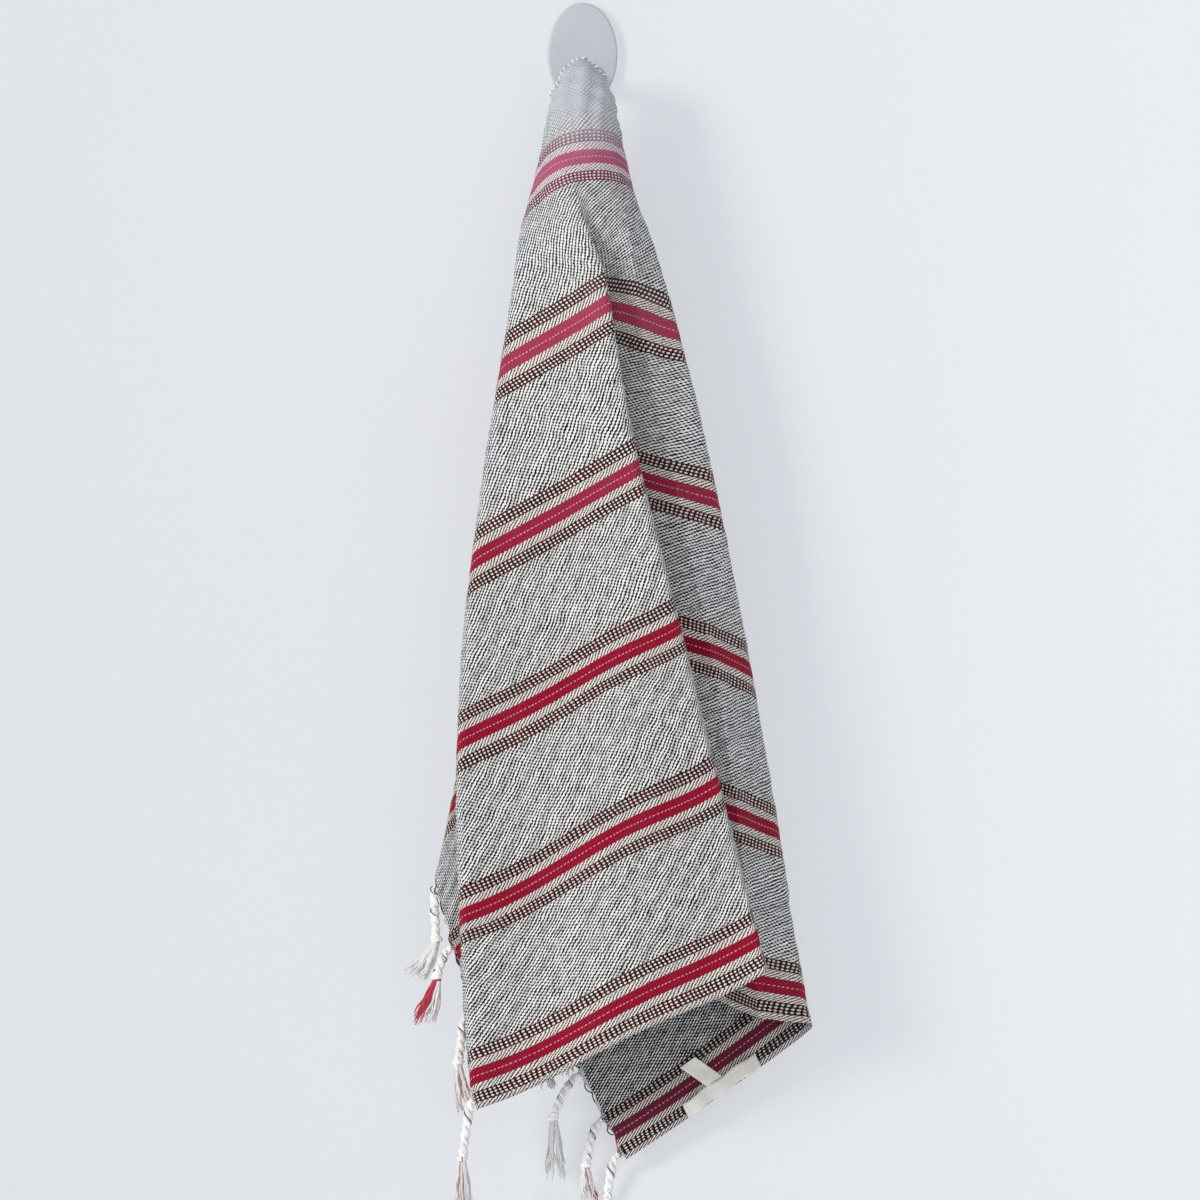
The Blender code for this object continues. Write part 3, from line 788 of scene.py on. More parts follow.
@dataclass(frozen=True)
class Drape:
    """The surface in which the towel hangs, by distance from the hook and by place across its folds.

    The cloth hangs from the middle of its upper selvedge. At each distance from that point its section
    is one line of folds: hidden pleats, the folds that show, and hidden pleats again.
    """

    hook_reach: float = 0.050  # from the wall to the hook point
    hang_z: float = -0.0035
    width: float = 0.495
    left_length: float = 0.326
    right_length: float = 0.372
    neck_centre_angle: float = -7.7
    neck_tightness: float = 1.9
    neck_radius: float = 0.043
    neck_power: float = 1.5
    neck_wrap_limit: float = 172.0
    unfolded_until: float = 0.060
    even_until: float = 0.060
    folded_from: float = 0.130
    back_pleats: int = 4
    back_tuck: float = 0.96
    turn_reach: float = 0.010
    turn_share: float = 0.30
    wave_depth: float = 0.005
    wave_length: float = 0.105
    wave_start: float = 0.16
    wave_full: float = 0.50
    front_forward: float = 0.050
    pucker: float = 0.00034
    hem_wobble: float = 0.0010
    hem_depth: float = 0.012
    crumple: float = 0.0011
    crumple_in: tuple[float, float] = (0.004, 0.014)  # distances from the hook
    crumple_out: tuple[float, float] = (0.030, 0.060)
    sway_depth: float = 0.0018
    sway_bearing: float = -4.0  # degrees from straight down, where the towel sags most
    sway_turn: float = 14.0  # degrees to the next sag
    sway_start: float = 0.20  # distances from the hook
    sway_full: float = 0.45
    sway_behind: float = 0.064  # metres from the wall, for the layers that hang straight
    sway_before: float = 0.080
    halvings: int = 24  # in the search for the place of a flat angle

    @property
    def layers(self) -> int:
        """How many layers lie between the two selvedges."""
        return len(FOLD_NAMES) + 2 * self.back_pleats - 1

    @property
    def spans(self) -> int:
        """How many spans of the section's curve there are."""
        return 4 * self.layers

    def back_folds(self, outer: Fold, inner: float, rear: float, end_angle: float) -> list[Fold]:
        """The hidden folds from a visible outer fold to the free selvedge.

        Args:
            outer: The outermost fold that shows.
            inner: Where the pleats turn on the inside.
            rear: Where the layer next to the wall lies.
            end_angle: The flat angle of the selvedge.

        Returns:
            The folds, with the selvedge last.
        """
        count = self.back_pleats
        layers = np.linspace(outer.forward - outer.turn / 2, rear, count)
        across = [inner if i % 2 else outer.across * self.back_tuck**i for i in range(1, count + 1)]
        lengths = np.abs(np.diff([outer.across] + across)) + np.append(-np.diff(layers), 0.0)
        angles = outer.angle + (end_angle - outer.angle) * np.cumsum(lengths) / np.sum(lengths)
        folds = [
            Fold(angles[i], across[i], (layers[i] + layers[i + 1]) / 2, layers[i] - layers[i + 1])
            for i in range(count - 1)
        ]
        return folds + [Fold(end_angle, across[-1], rear, 0.0)]

    def level_row(self, level: float) -> np.ndarray:
        """All folds of one level from the left selvedge to the right one, as shares of the distance.

        Args:
            level: One of the tabled distances from the hook.

        Returns:
            Angle, across, forward and turn of each fold.
        """
        folds, back = FOLDS[level], BACKS[level]
        left = self.back_folds(folds[0], back.left_inner, back.rear, -90.0)
        right = self.back_folds(folds[-1], back.right_inner, back.rear, 90.0)
        row = np.array(left[::-1] + list(folds) + right)
        row[:, 1:] /= level
        return row

    def folds_at(self, distance: np.ndarray) -> np.ndarray:
        """The folds at each of several distances, on smooth curves through the tabled levels.

        Args:
            distance: Distances from the hook.

        Returns:
            Angle, across, forward and turn of each fold, for each distance.
        """
        knots = np.log(list(FOLDS))
        rows = np.array([self.level_row(level) for level in FOLDS])
        slopes = np.gradient(rows, knots, axis=0)
        at = np.log(np.maximum(distance, list(FOLDS)[0]))
        i = np.clip(np.searchsorted(knots, at) - 1, 0, len(knots) - 2)
        step = (knots[i + 1] - knots[i])[:, None, None]
        t = np.clip((at - knots[i])[:, None, None] / step, 0.0, 1.0)
        folds = (
            rows[i] * (1 + 2 * t) * (1 - t) ** 2
            + slopes[i] * step * t * (1 - t) ** 2
            + rows[i + 1] * t * t * (3 - 2 * t)
            + slopes[i + 1] * step * t * t * (t - 1)
            + slopes[-1] * np.maximum(at - knots[-1], 0.0)[:, None, None]
        )
        folds[:, :, 1:] *= distance[:, None, None]
        return folds

    def controls_at(self, distance: np.ndarray) -> np.ndarray:
        """Control points of the section's curve at each of several distances.

        Args:
            distance: Distances from the hook.

        Returns:
            Flat angle, across and forward of each control point, for each distance.
        """
        angle, across, forward, turn = np.moveaxis(self.folds_at(distance), 2, 0)
        half_angle = np.degrees(turn / 2 / np.maximum(distance, 1e-4)[:, None])
        crease = self.back_pleats + FOLD_NAMES.index("crease")
        half_turn = turn / 2 * np.where(np.arange(angle.shape[1]) < crease, 1.0, -1.0)
        arrive = np.stack((angle - half_angle, across, forward - half_turn), axis=2)
        leave = np.stack((angle + half_angle, across, forward + half_turn), axis=2)
        start, end = leave[:, :-1], arrive[:, 1:]
        chord = np.hypot(end[:, :, 1] - start[:, :, 1], end[:, :, 2] - start[:, :, 2])
        share = np.minimum(self.turn_reach / np.maximum(chord, 1e-6), self.turn_share)[:, :, None]
        after, before = start + (end - start) * share, end + (start - end) * share
        layers = np.stack((start, after, before, end), axis=2)
        middle = layers.reshape(len(distance), -1, 3)
        return np.concatenate((arrive[:, :1], middle, leave[:, -1:]), axis=1)

    def section(
        self, distance: np.ndarray, place: np.ndarray, controls: np.ndarray | None = None
    ) -> tuple[np.ndarray, np.ndarray, np.ndarray]:
        """The section at each of several distances, each at its own place.

        Args:
            distance: Distances from the hook.
            place: Places from 0 at the left selvedge to the number of spans at the right one.
            controls: The control points at those distances, where they are at hand.

        Returns:
            The flat angle in degrees, and the place across and forward of the hook.
        """
        controls = self.controls_at(distance) if controls is None else controls
        each = np.arange(len(distance))
        span = np.clip(np.floor(place).astype(int), 0, self.spans - 1)
        t = (place - span)[:, None]
        first, second, third = (controls[each, span + i] for i in range(3))
        curve = ((1 - t) ** 2 * first + (1 + 2 * t - 2 * t * t) * second + t * t * third) / 2
        even = 180.0 * (place / self.spans - 0.5)
        angle = even + (curve[:, 0] - even) * smooth_step(distance, 0.0, self.even_until)

        loosening = np.exp(-((distance / self.neck_radius) ** self.neck_power))
        tightness = 1 + self.neck_tightness * (1 - loosening)
        off_centre = angle - self.neck_centre_angle
        widest = 90.0 - self.neck_centre_angle
        crowding = np.maximum(tightness * widest / self.neck_wrap_limit - 1, 0.0)
        wrap = np.radians(tightness * off_centre / (1 + crowding * np.abs(off_centre) / widest))
        neck_across = distance * np.sin(wrap) / tightness
        neck_forward = distance * np.cos(wrap) / tightness

        folded = smooth_step(distance, self.unfolded_until, self.folded_from)
        across = neck_across + (curve[:, 1] - neck_across) * folded
        forward = neck_forward + (curve[:, 2] - neck_forward) * folded
        depth = self.wave_depth * smooth_step(distance, self.wave_start, self.wave_full)
        nearness = (forward + self.hook_reach) / (self.front_forward + self.hook_reach)
        wave = depth * nearness * np.sin(TURN * across / self.wave_length)
        return angle, across, forward + wave

    def hang(
        self, distance: np.ndarray, place: np.ndarray, controls: np.ndarray | None = None
    ) -> tuple[np.ndarray, np.ndarray]:
        """Where places of the section hang.

        Args:
            distance: Distances from the hook.
            place: Places across the section.
            controls: The control points at those distances, where they are at hand.

        Returns:
            The points, and their flat places along and down the cloth.
        """
        angle, across, forward = self.section(distance, place, controls)
        radians = np.radians(angle)
        flat = np.column_stack((distance * np.sin(radians), distance * np.cos(radians)))
        down = np.sqrt(np.maximum(distance**2 - across**2 - forward**2, 0.0))
        points = np.column_stack((across, -self.hook_reach - forward, self.hang_z - down))
        return points, flat

    def smooth_place(self, flat: np.ndarray) -> np.ndarray:
        """Where flat places hang on the smooth surface.

        Args:
            flat: Places along and down the cloth, one row each.

        Returns:
            The points, one row each.
        """
        distance = np.hypot(flat[:, 0], flat[:, 1])
        wanted = np.degrees(np.arctan2(flat[:, 0], flat[:, 1]))
        controls = self.controls_at(distance)
        low, high = np.zeros(len(flat)), np.full(len(flat), float(self.spans))
        for _ in range(self.halvings):
            middle = (low + high) / 2
            beyond = self.section(distance, middle, controls)[0] > wanted
            high, low = np.where(beyond, middle, high), np.where(beyond, low, middle)
        return self.hang(distance, (low + high) / 2, controls)[0]

    def directions(
        self, flat: np.ndarray, step: float = 0.0005
    ) -> tuple[np.ndarray, np.ndarray, np.ndarray]:
        """The hanging cloth's own directions at flat places.

        Args:
            flat: Places along and down the cloth, one row each.
            step: How far apart the places are that are compared.

        Returns:
            The directions along the stripes, down across them, and out of the wrong side.
        """
        along, down = np.array((step, 0.0)), np.array((0.0, step))
        right = self.smooth_place(flat + along) - self.smooth_place(flat - along)
        below = self.smooth_place(flat + down) - self.smooth_place(flat - down)
        right, below = unit(right), unit(below)
        return right, below, unit(np.cross(right, below))

    def relief(self, flat: np.ndarray) -> np.ndarray:
        """How far ripples, puckers and the crumpled top lift each flat place towards the wrong side.

        Args:
            flat: Places along and down the cloth, in the last axis.

        Returns:
            The lift at each place.
        """
        lift = np.zeros(flat.shape[:-1])
        for ripple in RIPPLES:
            start = np.array((ripple.from_along, ripple.from_down))
            run = np.array((ripple.to_along, ripple.to_down)) - start
            length = float(np.hypot(*run))
            way = (flat - start) @ run / length**2
            off = (flat - start) @ np.array((-run[1], run[0])) / length / ripple.width
            fade = smooth_step(way, -0.35, 0.25) * (1 - smooth_step(way, 0.75, 1.35))
            lift += ripple.height * fade * np.exp(-(off**2))
        along, down = flat[..., 0], flat[..., 1]
        distance = np.hypot(along, down)
        near_hem = np.exp(-(self.width - down) / self.hem_depth)
        near_hook = smooth_step(distance, *self.crumple_in)
        near_hook *= 1 - smooth_step(distance, *self.crumple_out)
        # The beats in the next three sums are in radians to the metre.
        puckers = np.sin(along * 410.0 + np.sin(down * 95.0) * 1.7) * np.sin(down * 330.0 + along * 60.0)
        hem = np.sin(along * 190.0) + 0.6 * np.sin(along * 331.0 + 1.0)
        crumple = 1.0 + 0.6 * np.sin(along * 560.0 + down * 130.0)
        crumple = crumple + 0.4 * np.sin(down * 700.0 - along * 240.0)
        lift = lift + self.pucker * puckers + self.hem_wobble * near_hem * hem
        return lift - self.crumple * near_hook * crumple

    def sway(self, points: np.ndarray) -> np.ndarray:
        """Lets the front layer sag a little and rise again across the towel.

        Args:
            points: Points of the hanging towel, in the last axis.

        Returns:
            The points where they then are.
        """
        swayed = points.copy()
        below = np.hypot(points[..., 0], points[..., 2])
        bearing = np.degrees(np.arctan2(points[..., 0], -points[..., 2]))
        ramp = smooth_step(below, self.sway_start, self.sway_full)
        ramp = ramp * smooth_step(-points[..., 1], self.sway_behind, self.sway_before)
        sag = np.cos(TURN * (bearing - self.sway_bearing) / self.sway_turn)
        swayed[..., 2] -= self.sway_depth * ramp * sag
        return swayed

    def lay(self, flat: np.ndarray) -> np.ndarray:
        """Where flat places hang, with all the small unevenness.

        Args:
            flat: Places along and down the cloth, one row each.

        Returns:
            The points, one row each.
        """
        out = self.directions(flat)[2]
        return self.sway(self.smooth_place(flat) + out * self.relief(flat)[:, None])

    def edge_distance(self, place: np.ndarray, rounds: int = 40) -> np.ndarray:
        """How far from the hook each column of the section reaches the towel's edge.

        Args:
            place: The columns' places across the section.
            rounds: How often the answer is improved.

        Returns:
            The distances.
        """
        distance = np.full(len(place), self.width)
        for _ in range(rounds):
            angle = np.radians(self.section(distance, place)[0])
            length = np.where(angle > 0, self.right_length, self.left_length)
            share = np.maximum(np.cos(angle) / self.width, np.abs(np.sin(angle)) / length)
            distance += (1 / share - distance) * 0.7
        return distance

    def corner_place(self, length: float) -> float:
        """The place of the section that runs through a lower corner.

        Args:
            length: How far the corner lies along the stripes, negative on the left.

        Returns:
            The place across the section.
        """
        places = np.linspace(0.0, self.spans, 4001)
        angle = self.section(np.full(len(places), math.hypot(length, self.width)), places)[0]
        return float(np.interp(math.degrees(math.atan2(length, self.width)), angle, places))


# --- The towel --------------------------------------------------------------------------------------
@dataclass
class TowelCloth:
    """The woven cloth: a thin closed sheet on the drape, with its small ripples."""

    drape: Drape
    cotton: bpy.types.Material
    turn_columns: int = 6  # on each half of a turn that shows
    layer_columns: int = 8  # on each half of a layer that shows
    hidden_turn_columns: int = 4
    hidden_layer_columns: int = 4
    rows: int = 170
    first_row: float = 0.004  # of the way to the edge
    row_growth: float = 1.12
    corner_gap: float = 0.08  # spans that a column keeps from a corner's own

    def places(self) -> np.ndarray:
        """The columns of the mesh, two of which run through the lower corners.

        Returns:
            Their places across the section, in order.
        """
        drape = self.drape
        even = [float(drape.spans)]
        for span in range(drape.spans):
            layer = span // 4
            shows = drape.back_pleats <= layer <= drape.layers - drape.back_pleats
            if span % 4 in (0, 3):
                count = self.turn_columns if shows else self.hidden_turn_columns
            else:
                count = self.layer_columns if shows else self.hidden_layer_columns
            even += [span + i / count for i in range(count)]
        ends = (-drape.left_length, drape.right_length)
        corners = np.array([drape.corner_place(end) for end in ends])
        clear = [place for place in even if np.min(np.abs(corners - place)) > self.corner_gap]
        return np.sort(np.concatenate((clear, corners)))

    def woven(self, flat: np.ndarray) -> np.ndarray:
        """Where each flat place lies in the pattern, which bows a little.

        Args:
            flat: Places along and down the cloth, in the last axis.

        Returns:
            The places in the pattern.
        """
        place = flat.copy()
        for bow in BOWS:
            off_along = (flat[..., 0] - bow.along) / bow.reach_along
            off_down = (flat[..., 1] - bow.down) / bow.reach_down
            place[..., 1] -= bow.shift * np.exp(-(off_along**2 + off_down**2))
        return place

    def build(self) -> bpy.types.Object:
        """Makes the cloth.

        Returns:
            The piece.
        """
        places = self.places()
        reach = self.drape.edge_distance(places)
        shares = np.linspace(0.0, 1.0, self.rows) ** self.row_growth
        shares = self.first_row + (1 - self.first_row) * shares
        distance = (reach[:, None] * shares[None, :]).ravel()
        points, flat = self.drape.hang(distance, np.repeat(places, self.rows))
        middle = points.reshape(len(places), self.rows, 3)
        flat = flat.reshape(len(places), self.rows, 2)
        out = unit(np.cross(np.gradient(middle, axis=0), np.gradient(middle, axis=1)))
        middle = self.drape.sway(middle + out * self.drape.relief(flat)[:, :, None])
        points, faces, sides = sheet_mesh(middle, out, self.woven(flat), CLOTH_THICKNESS)
        piece = add_piece("hammam_towel", points, faces, self.cotton, {"flat": sides})
        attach(piece, ROOT_BODY)
        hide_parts("towel_cloth")
        LOG.info("%s: %d columns of %d rows", piece.name, len(places), self.rows)
        return piece


# --- The fringe -------------------------------------------------------------------------------------
class End(Enum):
    """The two fringed ends of the cloth."""

    LEFT = -1.0
    RIGHT = 1.0


class Tassel(NamedTuple):
    """One tassel: where it is knotted to the cloth, how it hangs and what it is made of."""

    down: float  # metres from the upper selvedge
    knot_right: float  # metres from its root to its knot
    knot_below: float
    tail_right: float  # metres from the knot to the ends of its strands
    tail_below: float
    red: float  # the share of crimson strands
    pink: float  # the share of strands that have taken some dye
    fluff: float = 1.0  # how thick its loose strands are


LEFT_TASSELS = (
    Tassel(0.487, -0.0050, 0.0310, 0.0010, 0.030, 0.00, 0.50),
    Tassel(0.430, -0.0035, 0.0245, 0.0040, 0.026, 0.00, 0.50, 1.4),
    Tassel(0.383, -0.0060, 0.0145, -0.0085, 0.026, 0.40, 0.45, 1.25),
    Tassel(0.339, 0.0015, 0.0280, -0.0100, 0.021, 0.00, 0.00, 2.1),
    Tassel(0.297, 0.0000, 0.0265, 0.0010, 0.027, 0.20, 0.25),
    Tassel(0.255, 0.0005, 0.0260, -0.0010, 0.027, 0.00, 0.15),
    Tassel(0.213, -0.0005, 0.0260, 0.0010, 0.026, 0.25, 0.30),
    Tassel(0.171, 0.0000, 0.0255, 0.0000, 0.027, 0.00, 0.10),
    Tassel(0.129, 0.0008, 0.0260, -0.0010, 0.026, 0.25, 0.30),
    Tassel(0.087, -0.0005, 0.0260, 0.0010, 0.027, 0.00, 0.15),
    Tassel(0.045, 0.0000, 0.0260, 0.0000, 0.026, 0.20, 0.30),
    Tassel(0.008, 0.0005, 0.0255, -0.0005, 0.026, 0.00, 0.10),
)
RIGHT_TASSELS = (
    Tassel(0.489, -0.0040, 0.0265, 0.0000, 0.026, 0.02, 0.20),
    Tassel(0.464, -0.0065, 0.0245, 0.0025, 0.020, 0.20, 0.20),
    Tassel(0.431, -0.0120, 0.0225, 0.0005, 0.034, 0.00, 0.06),
    Tassel(0.393, 0.0000, 0.0200, 0.0010, 0.014, 0.00, 0.10),
    Tassel(0.355, 0.0005, 0.0260, -0.0010, 0.027, 0.00, 0.15),
    Tassel(0.317, -0.0005, 0.0255, 0.0010, 0.026, 0.15, 0.25),
    Tassel(0.279, 0.0000, 0.0260, 0.0000, 0.027, 0.00, 0.10),
    Tassel(0.241, 0.0005, 0.0260, -0.0010, 0.026, 0.00, 0.20),
    Tassel(0.203, -0.0005, 0.0260, 0.0010, 0.027, 0.20, 0.30),
    Tassel(0.165, 0.0000, 0.0255, 0.0000, 0.026, 0.00, 0.10),
    Tassel(0.127, 0.0005, 0.0260, -0.0010, 0.027, 0.25, 0.30),
    Tassel(0.089, -0.0005, 0.0260, 0.0010, 0.026, 0.00, 0.15),
    Tassel(0.051, 0.0000, 0.0260, 0.0000, 0.027, 0.25, 0.30),
    Tassel(0.012, 0.0005, 0.0255, 0.0005, 0.026, 0.00, 0.10),
)
YARN_TINTS = {
    Yarn.WHITE: (0.98, 0.965, 0.945),
    Yarn.CREAM: (0.92, 0.84, 0.75),
    Yarn.MAROON: (0.16, 0.03, 0.04),
    Yarn.CRIMSON: (0.60, 0.025, 0.07),
}
PINK_TINT = (0.92, 0.62, 0.62)
WEFT_TINT = (0.022, 0.022, 0.028)
DARK_TINT = (0.09, 0.075, 0.085)
LOOP_TINT = (0.86, 0.875, 0.90)
THREAD_TINT = (0.80, 0.76, 0.70)
WARP_SEED, LOOP_SEED, FIRST_TASSEL_SEED = 7, 11, 100


class YarnBundle:
    """Many tubes of yarn that end up in one mesh."""

    def __init__(self) -> None:
        """Starts without any yarn."""
        self.points: list[np.ndarray] = []
        self.faces: list[tuple[int, ...]] = []
        self.tints: list[np.ndarray] = []
        self.strands: list[np.ndarray] = []
        self.count = 0

    def add(self, path: np.ndarray, radii: np.ndarray, tint: Color, sides: int) -> None:
        """Adds one tube with closed ends.

        Args:
            path: The points it follows, one row each.
            radii: Its radius at each of them.
            tint: Its colour.
            sides: How many sides it has.
        """
        tangent = unit(np.gradient(path, axis=0))
        aside = np.eye(3)[int(np.argmin(np.abs(path[-1] - path[0])))]
        side = unit(np.cross(tangent, aside))
        front = np.cross(side, tangent)
        turns = np.arange(sides) / sides
        rim = circle(TURN * turns)[None]
        reach = side[:, None, :] * rim[:, :, :1] + front[:, None, :] * rim[:, :, 1:2]
        rings = path[:, None, :] + reach * radii[:, None, None]
        first, rows = self.count, len(path)
        strand = np.zeros((rows * sides, 3))
        strand[:, 0] = np.repeat(arc_length(path), sides)
        strand[:, 1] = np.tile(turns, rows)
        for a in range(first, first + (rows - 1) * sides, sides):
            b = a + sides
            for i in range(sides):
                j = (i + 1) % sides
                self.faces.append((a + i, a + j, b + j, b + i))
        last = first + (rows - 1) * sides
        self.faces += [tuple(range(first, first + sides))[::-1], tuple(range(last, last + sides))]
        self.points.append(rings.reshape(-1, 3))
        self.tints.append(np.tile((*tint, 1.0), (rows * sides, 1)))
        self.strands.append(strand)
        self.count += rows * sides

    def piece(self, name: str, material: bpy.types.Material) -> bpy.types.Object:
        """Makes the mesh of all the yarn.

        Args:
            name: The piece's name.
            material: Its material.

        Returns:
            The piece.
        """
        attributes = {"tint": np.concatenate(self.tints), "strand": np.concatenate(self.strands)}
        return add_piece(name, np.concatenate(self.points), self.faces, material, attributes)


@dataclass
class Fringe:
    """One fringed end: the warp ends drawn together, the twisted cords, their knots and loose strands."""

    drape: Drape
    plan: StripePlan
    end: End
    tassels: tuple[Tassel, ...]
    yarn: bpy.types.Material
    heading: float = 0.0040  # from the cloth's end to the roots
    warp_pitch: float = 0.0009
    warp_radius: float = 0.00042
    tuck_in: float = 0.0012  # how far a warp end starts inside the cloth
    elbow: float = 0.0045  # how far a cord runs out before it falls
    ply_radius: float = 0.00150
    ply_offset: float = 0.00128  # from the cord's line to the middle of a ply
    ply_pitch: float = 0.0095
    knot_radius: float = 0.0020
    knot_height: float = 0.0034
    knot_turns: float = 1.7
    bound_above: float = 0.3  # the share of crimson from which a crimson end binds the knot
    locks: int = 6
    lock_strands: int = 6
    strand_radius: float = 0.00052
    strand_spread: float = 0.0042
    dark_radius: float = 0.00032
    loop_pitch: float = 0.0118
    loop_radius: float = 0.00036
    root_share: float = 0.55  # of the heading, from the cloth's end to a root
    draw_length: float = 0.004  # over which the plies leave the root
    tail_gap: float = 0.0014  # from the middle of the knot to the start of the strands
    tail_ring: float = 0.0014  # how wide the strands start
    strand_curl: tuple[float, float] = (0.0003, 0.0011)
    curl_turns: tuple[float, float] = (1.0, 2.4)  # along a strand
    gather_reach: float = 0.004  # beside a root, where warp ends still reach out far
    gather_most: float = 0.010  # how far a warp end is drawn sideways
    dyed_share: float = 0.3  # of every other warp end, of which the rest are white
    warp_lift: float = 0.0005
    loop_margins: tuple[float, float] = (0.010, 0.014)  # from the two selvedges
    loop_seat: float = 0.0004
    loop_out: tuple[float, float] = (0.0005, 0.0026)
    loop_shift: float = 0.002
    loop_lift: float = 0.0011

    @property
    def length(self) -> float:
        """How far this end of the cloth lies from the hook, along the stripes."""
        return self.drape.right_length if self.end is End.RIGHT else self.drape.left_length

    def tint(self, dyed: Color, share: float, chance: np.random.Generator) -> Color:
        """White yarn that has taken a share of a dye.

        Args:
            dyed: The dye's full colour.
            share: The share of it.
            chance: The tassel's own random numbers.

        Returns:
            The yarn's colour.
        """
        light = chance.uniform(0.90, 1.04)
        white = YARN_TINTS[Yarn.WHITE]
        return tuple(min((a + (b - a) * share) * light, 1.0) for a, b in zip(white, dyed))

    def ply_tint(self, tassel: Tassel, chance: np.random.Generator) -> Color:
        """The colour of one ply of a tassel's cord."""
        return self.tint(PINK_TINT, chance.uniform(0.0, 0.45) * tassel.pink, chance)

    def lock_tints(self, tassel: Tassel, chance: np.random.Generator) -> list[Color]:
        """The colour of each lock of a tassel's loose strands.

        Args:
            tassel: The tassel.
            chance: The tassel's own random numbers.

        Returns:
            The colours, in mixed order.
        """
        reds, pinks = round(tassel.red * self.locks), round(tassel.pink * self.locks)
        tints = [self.tint(YARN_TINTS[Yarn.CRIMSON], 1.0, chance) for _ in range(reds)]
        tints += [self.tint(PINK_TINT, chance.uniform(0.4, 1.0), chance) for _ in range(pinks)]
        tints += [self.tint(PINK_TINT, 0.0, chance) for _ in range(self.locks - reds - pinks)]
        return [tints[i] for i in chance.permutation(self.locks)]

    def root_of(self, tassel: Tassel) -> tuple[np.ndarray, np.ndarray]:
        """The root of a tassel and the direction out of the cloth's end there.

        Args:
            tassel: The tassel.

        Returns:
            The point and the direction.
        """
        flat = np.array(((self.end.value * (self.length + self.heading * self.root_share), tassel.down),))
        right, _, _ = self.drape.directions(flat)
        return self.drape.lay(flat)[0], right[0] * self.end.value

    def cord_line(self, tassel: Tassel, samples: int) -> np.ndarray:
        """The middle line of a tassel's cord, from its root to its knot.

        Args:
            tassel: The tassel.
            samples: How many points the line has.

        Returns:
            The points, one row each.
        """
        root, out = self.root_of(tassel)
        elbow = root + out * self.elbow + np.array((tassel.knot_right * 0.25, 0.0, -0.002))
        knot = root + out * self.elbow * 0.6 + np.array((tassel.knot_right, 0.0, -tassel.knot_below))
        t = np.linspace(0.0, 1.0, samples)[:, None]
        return root * (1 - t) ** 2 + elbow * 2 * t * (1 - t) + knot * t * t

    def add_cord(self, bundle: YarnBundle, tassel: Tassel, chance: np.random.Generator) -> np.ndarray:
        """Twists two plies round the cord's line.

        Args:
            bundle: The yarn to add to.
            tassel: The tassel.
            chance: The tassel's own random numbers.

        Returns:
            The cord's line.
        """
        line = self.cord_line(tassel, 34)
        length = arc_length(line)
        draw = smooth_step(length, 0.0, self.draw_length)
        start = chance.uniform(0.0, 1.0)
        for ply in range(2):
            wind = circle(TURN * (length / self.ply_pitch + ply / 2 + start))
            ply_line = line + wind * (self.ply_offset * draw)[:, None]
            uneven = 1 + 0.07 * np.sin(length * 1400 + ply) + 0.12 * np.sin(length * 610 + 9 * start)
            radii = self.ply_radius * (0.75 + 0.25 * draw) * uneven
            bundle.add(ply_line, radii, self.ply_tint(tassel, chance), 8)
        # One dark weft is twisted in, a little slower than the plies.
        offset = circle(TURN * (length / self.ply_pitch * 0.8 + start))
        reach = (self.ply_offset + self.ply_radius) * (0.86 + 0.08 * np.sin(length * 900))
        bundle.add(line + offset * reach[:, None], np.full(len(line), self.dark_radius), DARK_TINT, 5)
        return line

    def add_knot(
        self, bundle: YarnBundle, tassel: Tassel, centre: np.ndarray, chance: np.random.Generator
    ) -> None:
        """Winds the cord round itself in an overhand knot.

        Args:
            bundle: The yarn to add to.
            tassel: The tassel.
            centre: The middle of the knot.
            chance: The tassel's own random numbers.
        """
        t = np.linspace(0.0, 1.0, 30)
        turn = TURN * (self.knot_turns * t + chance.uniform(0.0, 1.0))
        tilt = chance.uniform(-0.35, 0.35)
        reach = self.knot_radius * (1 - 0.35 * (2 * t - 1) ** 2)
        height = (0.5 - t) * self.knot_height
        path = np.stack((np.cos(turn) * reach, np.sin(turn) * reach, height), axis=1)
        path[:, 2] += path[:, 0] * tilt
        radii = self.ply_radius * (1.05 - 0.45 * (2 * t - 1) ** 4)
        bundle.add(centre + path, radii, self.ply_tint(tassel, chance), 8)
        if tassel.red > self.bound_above:
            ring = np.stack((np.cos(turn), np.sin(turn), t * 0.9 - 1.5), axis=1) * self.knot_radius * 0.95
            bundle.add(centre + ring, np.full(len(t), self.ply_radius * 0.5), YARN_TINTS[Yarn.CRIMSON], 6)

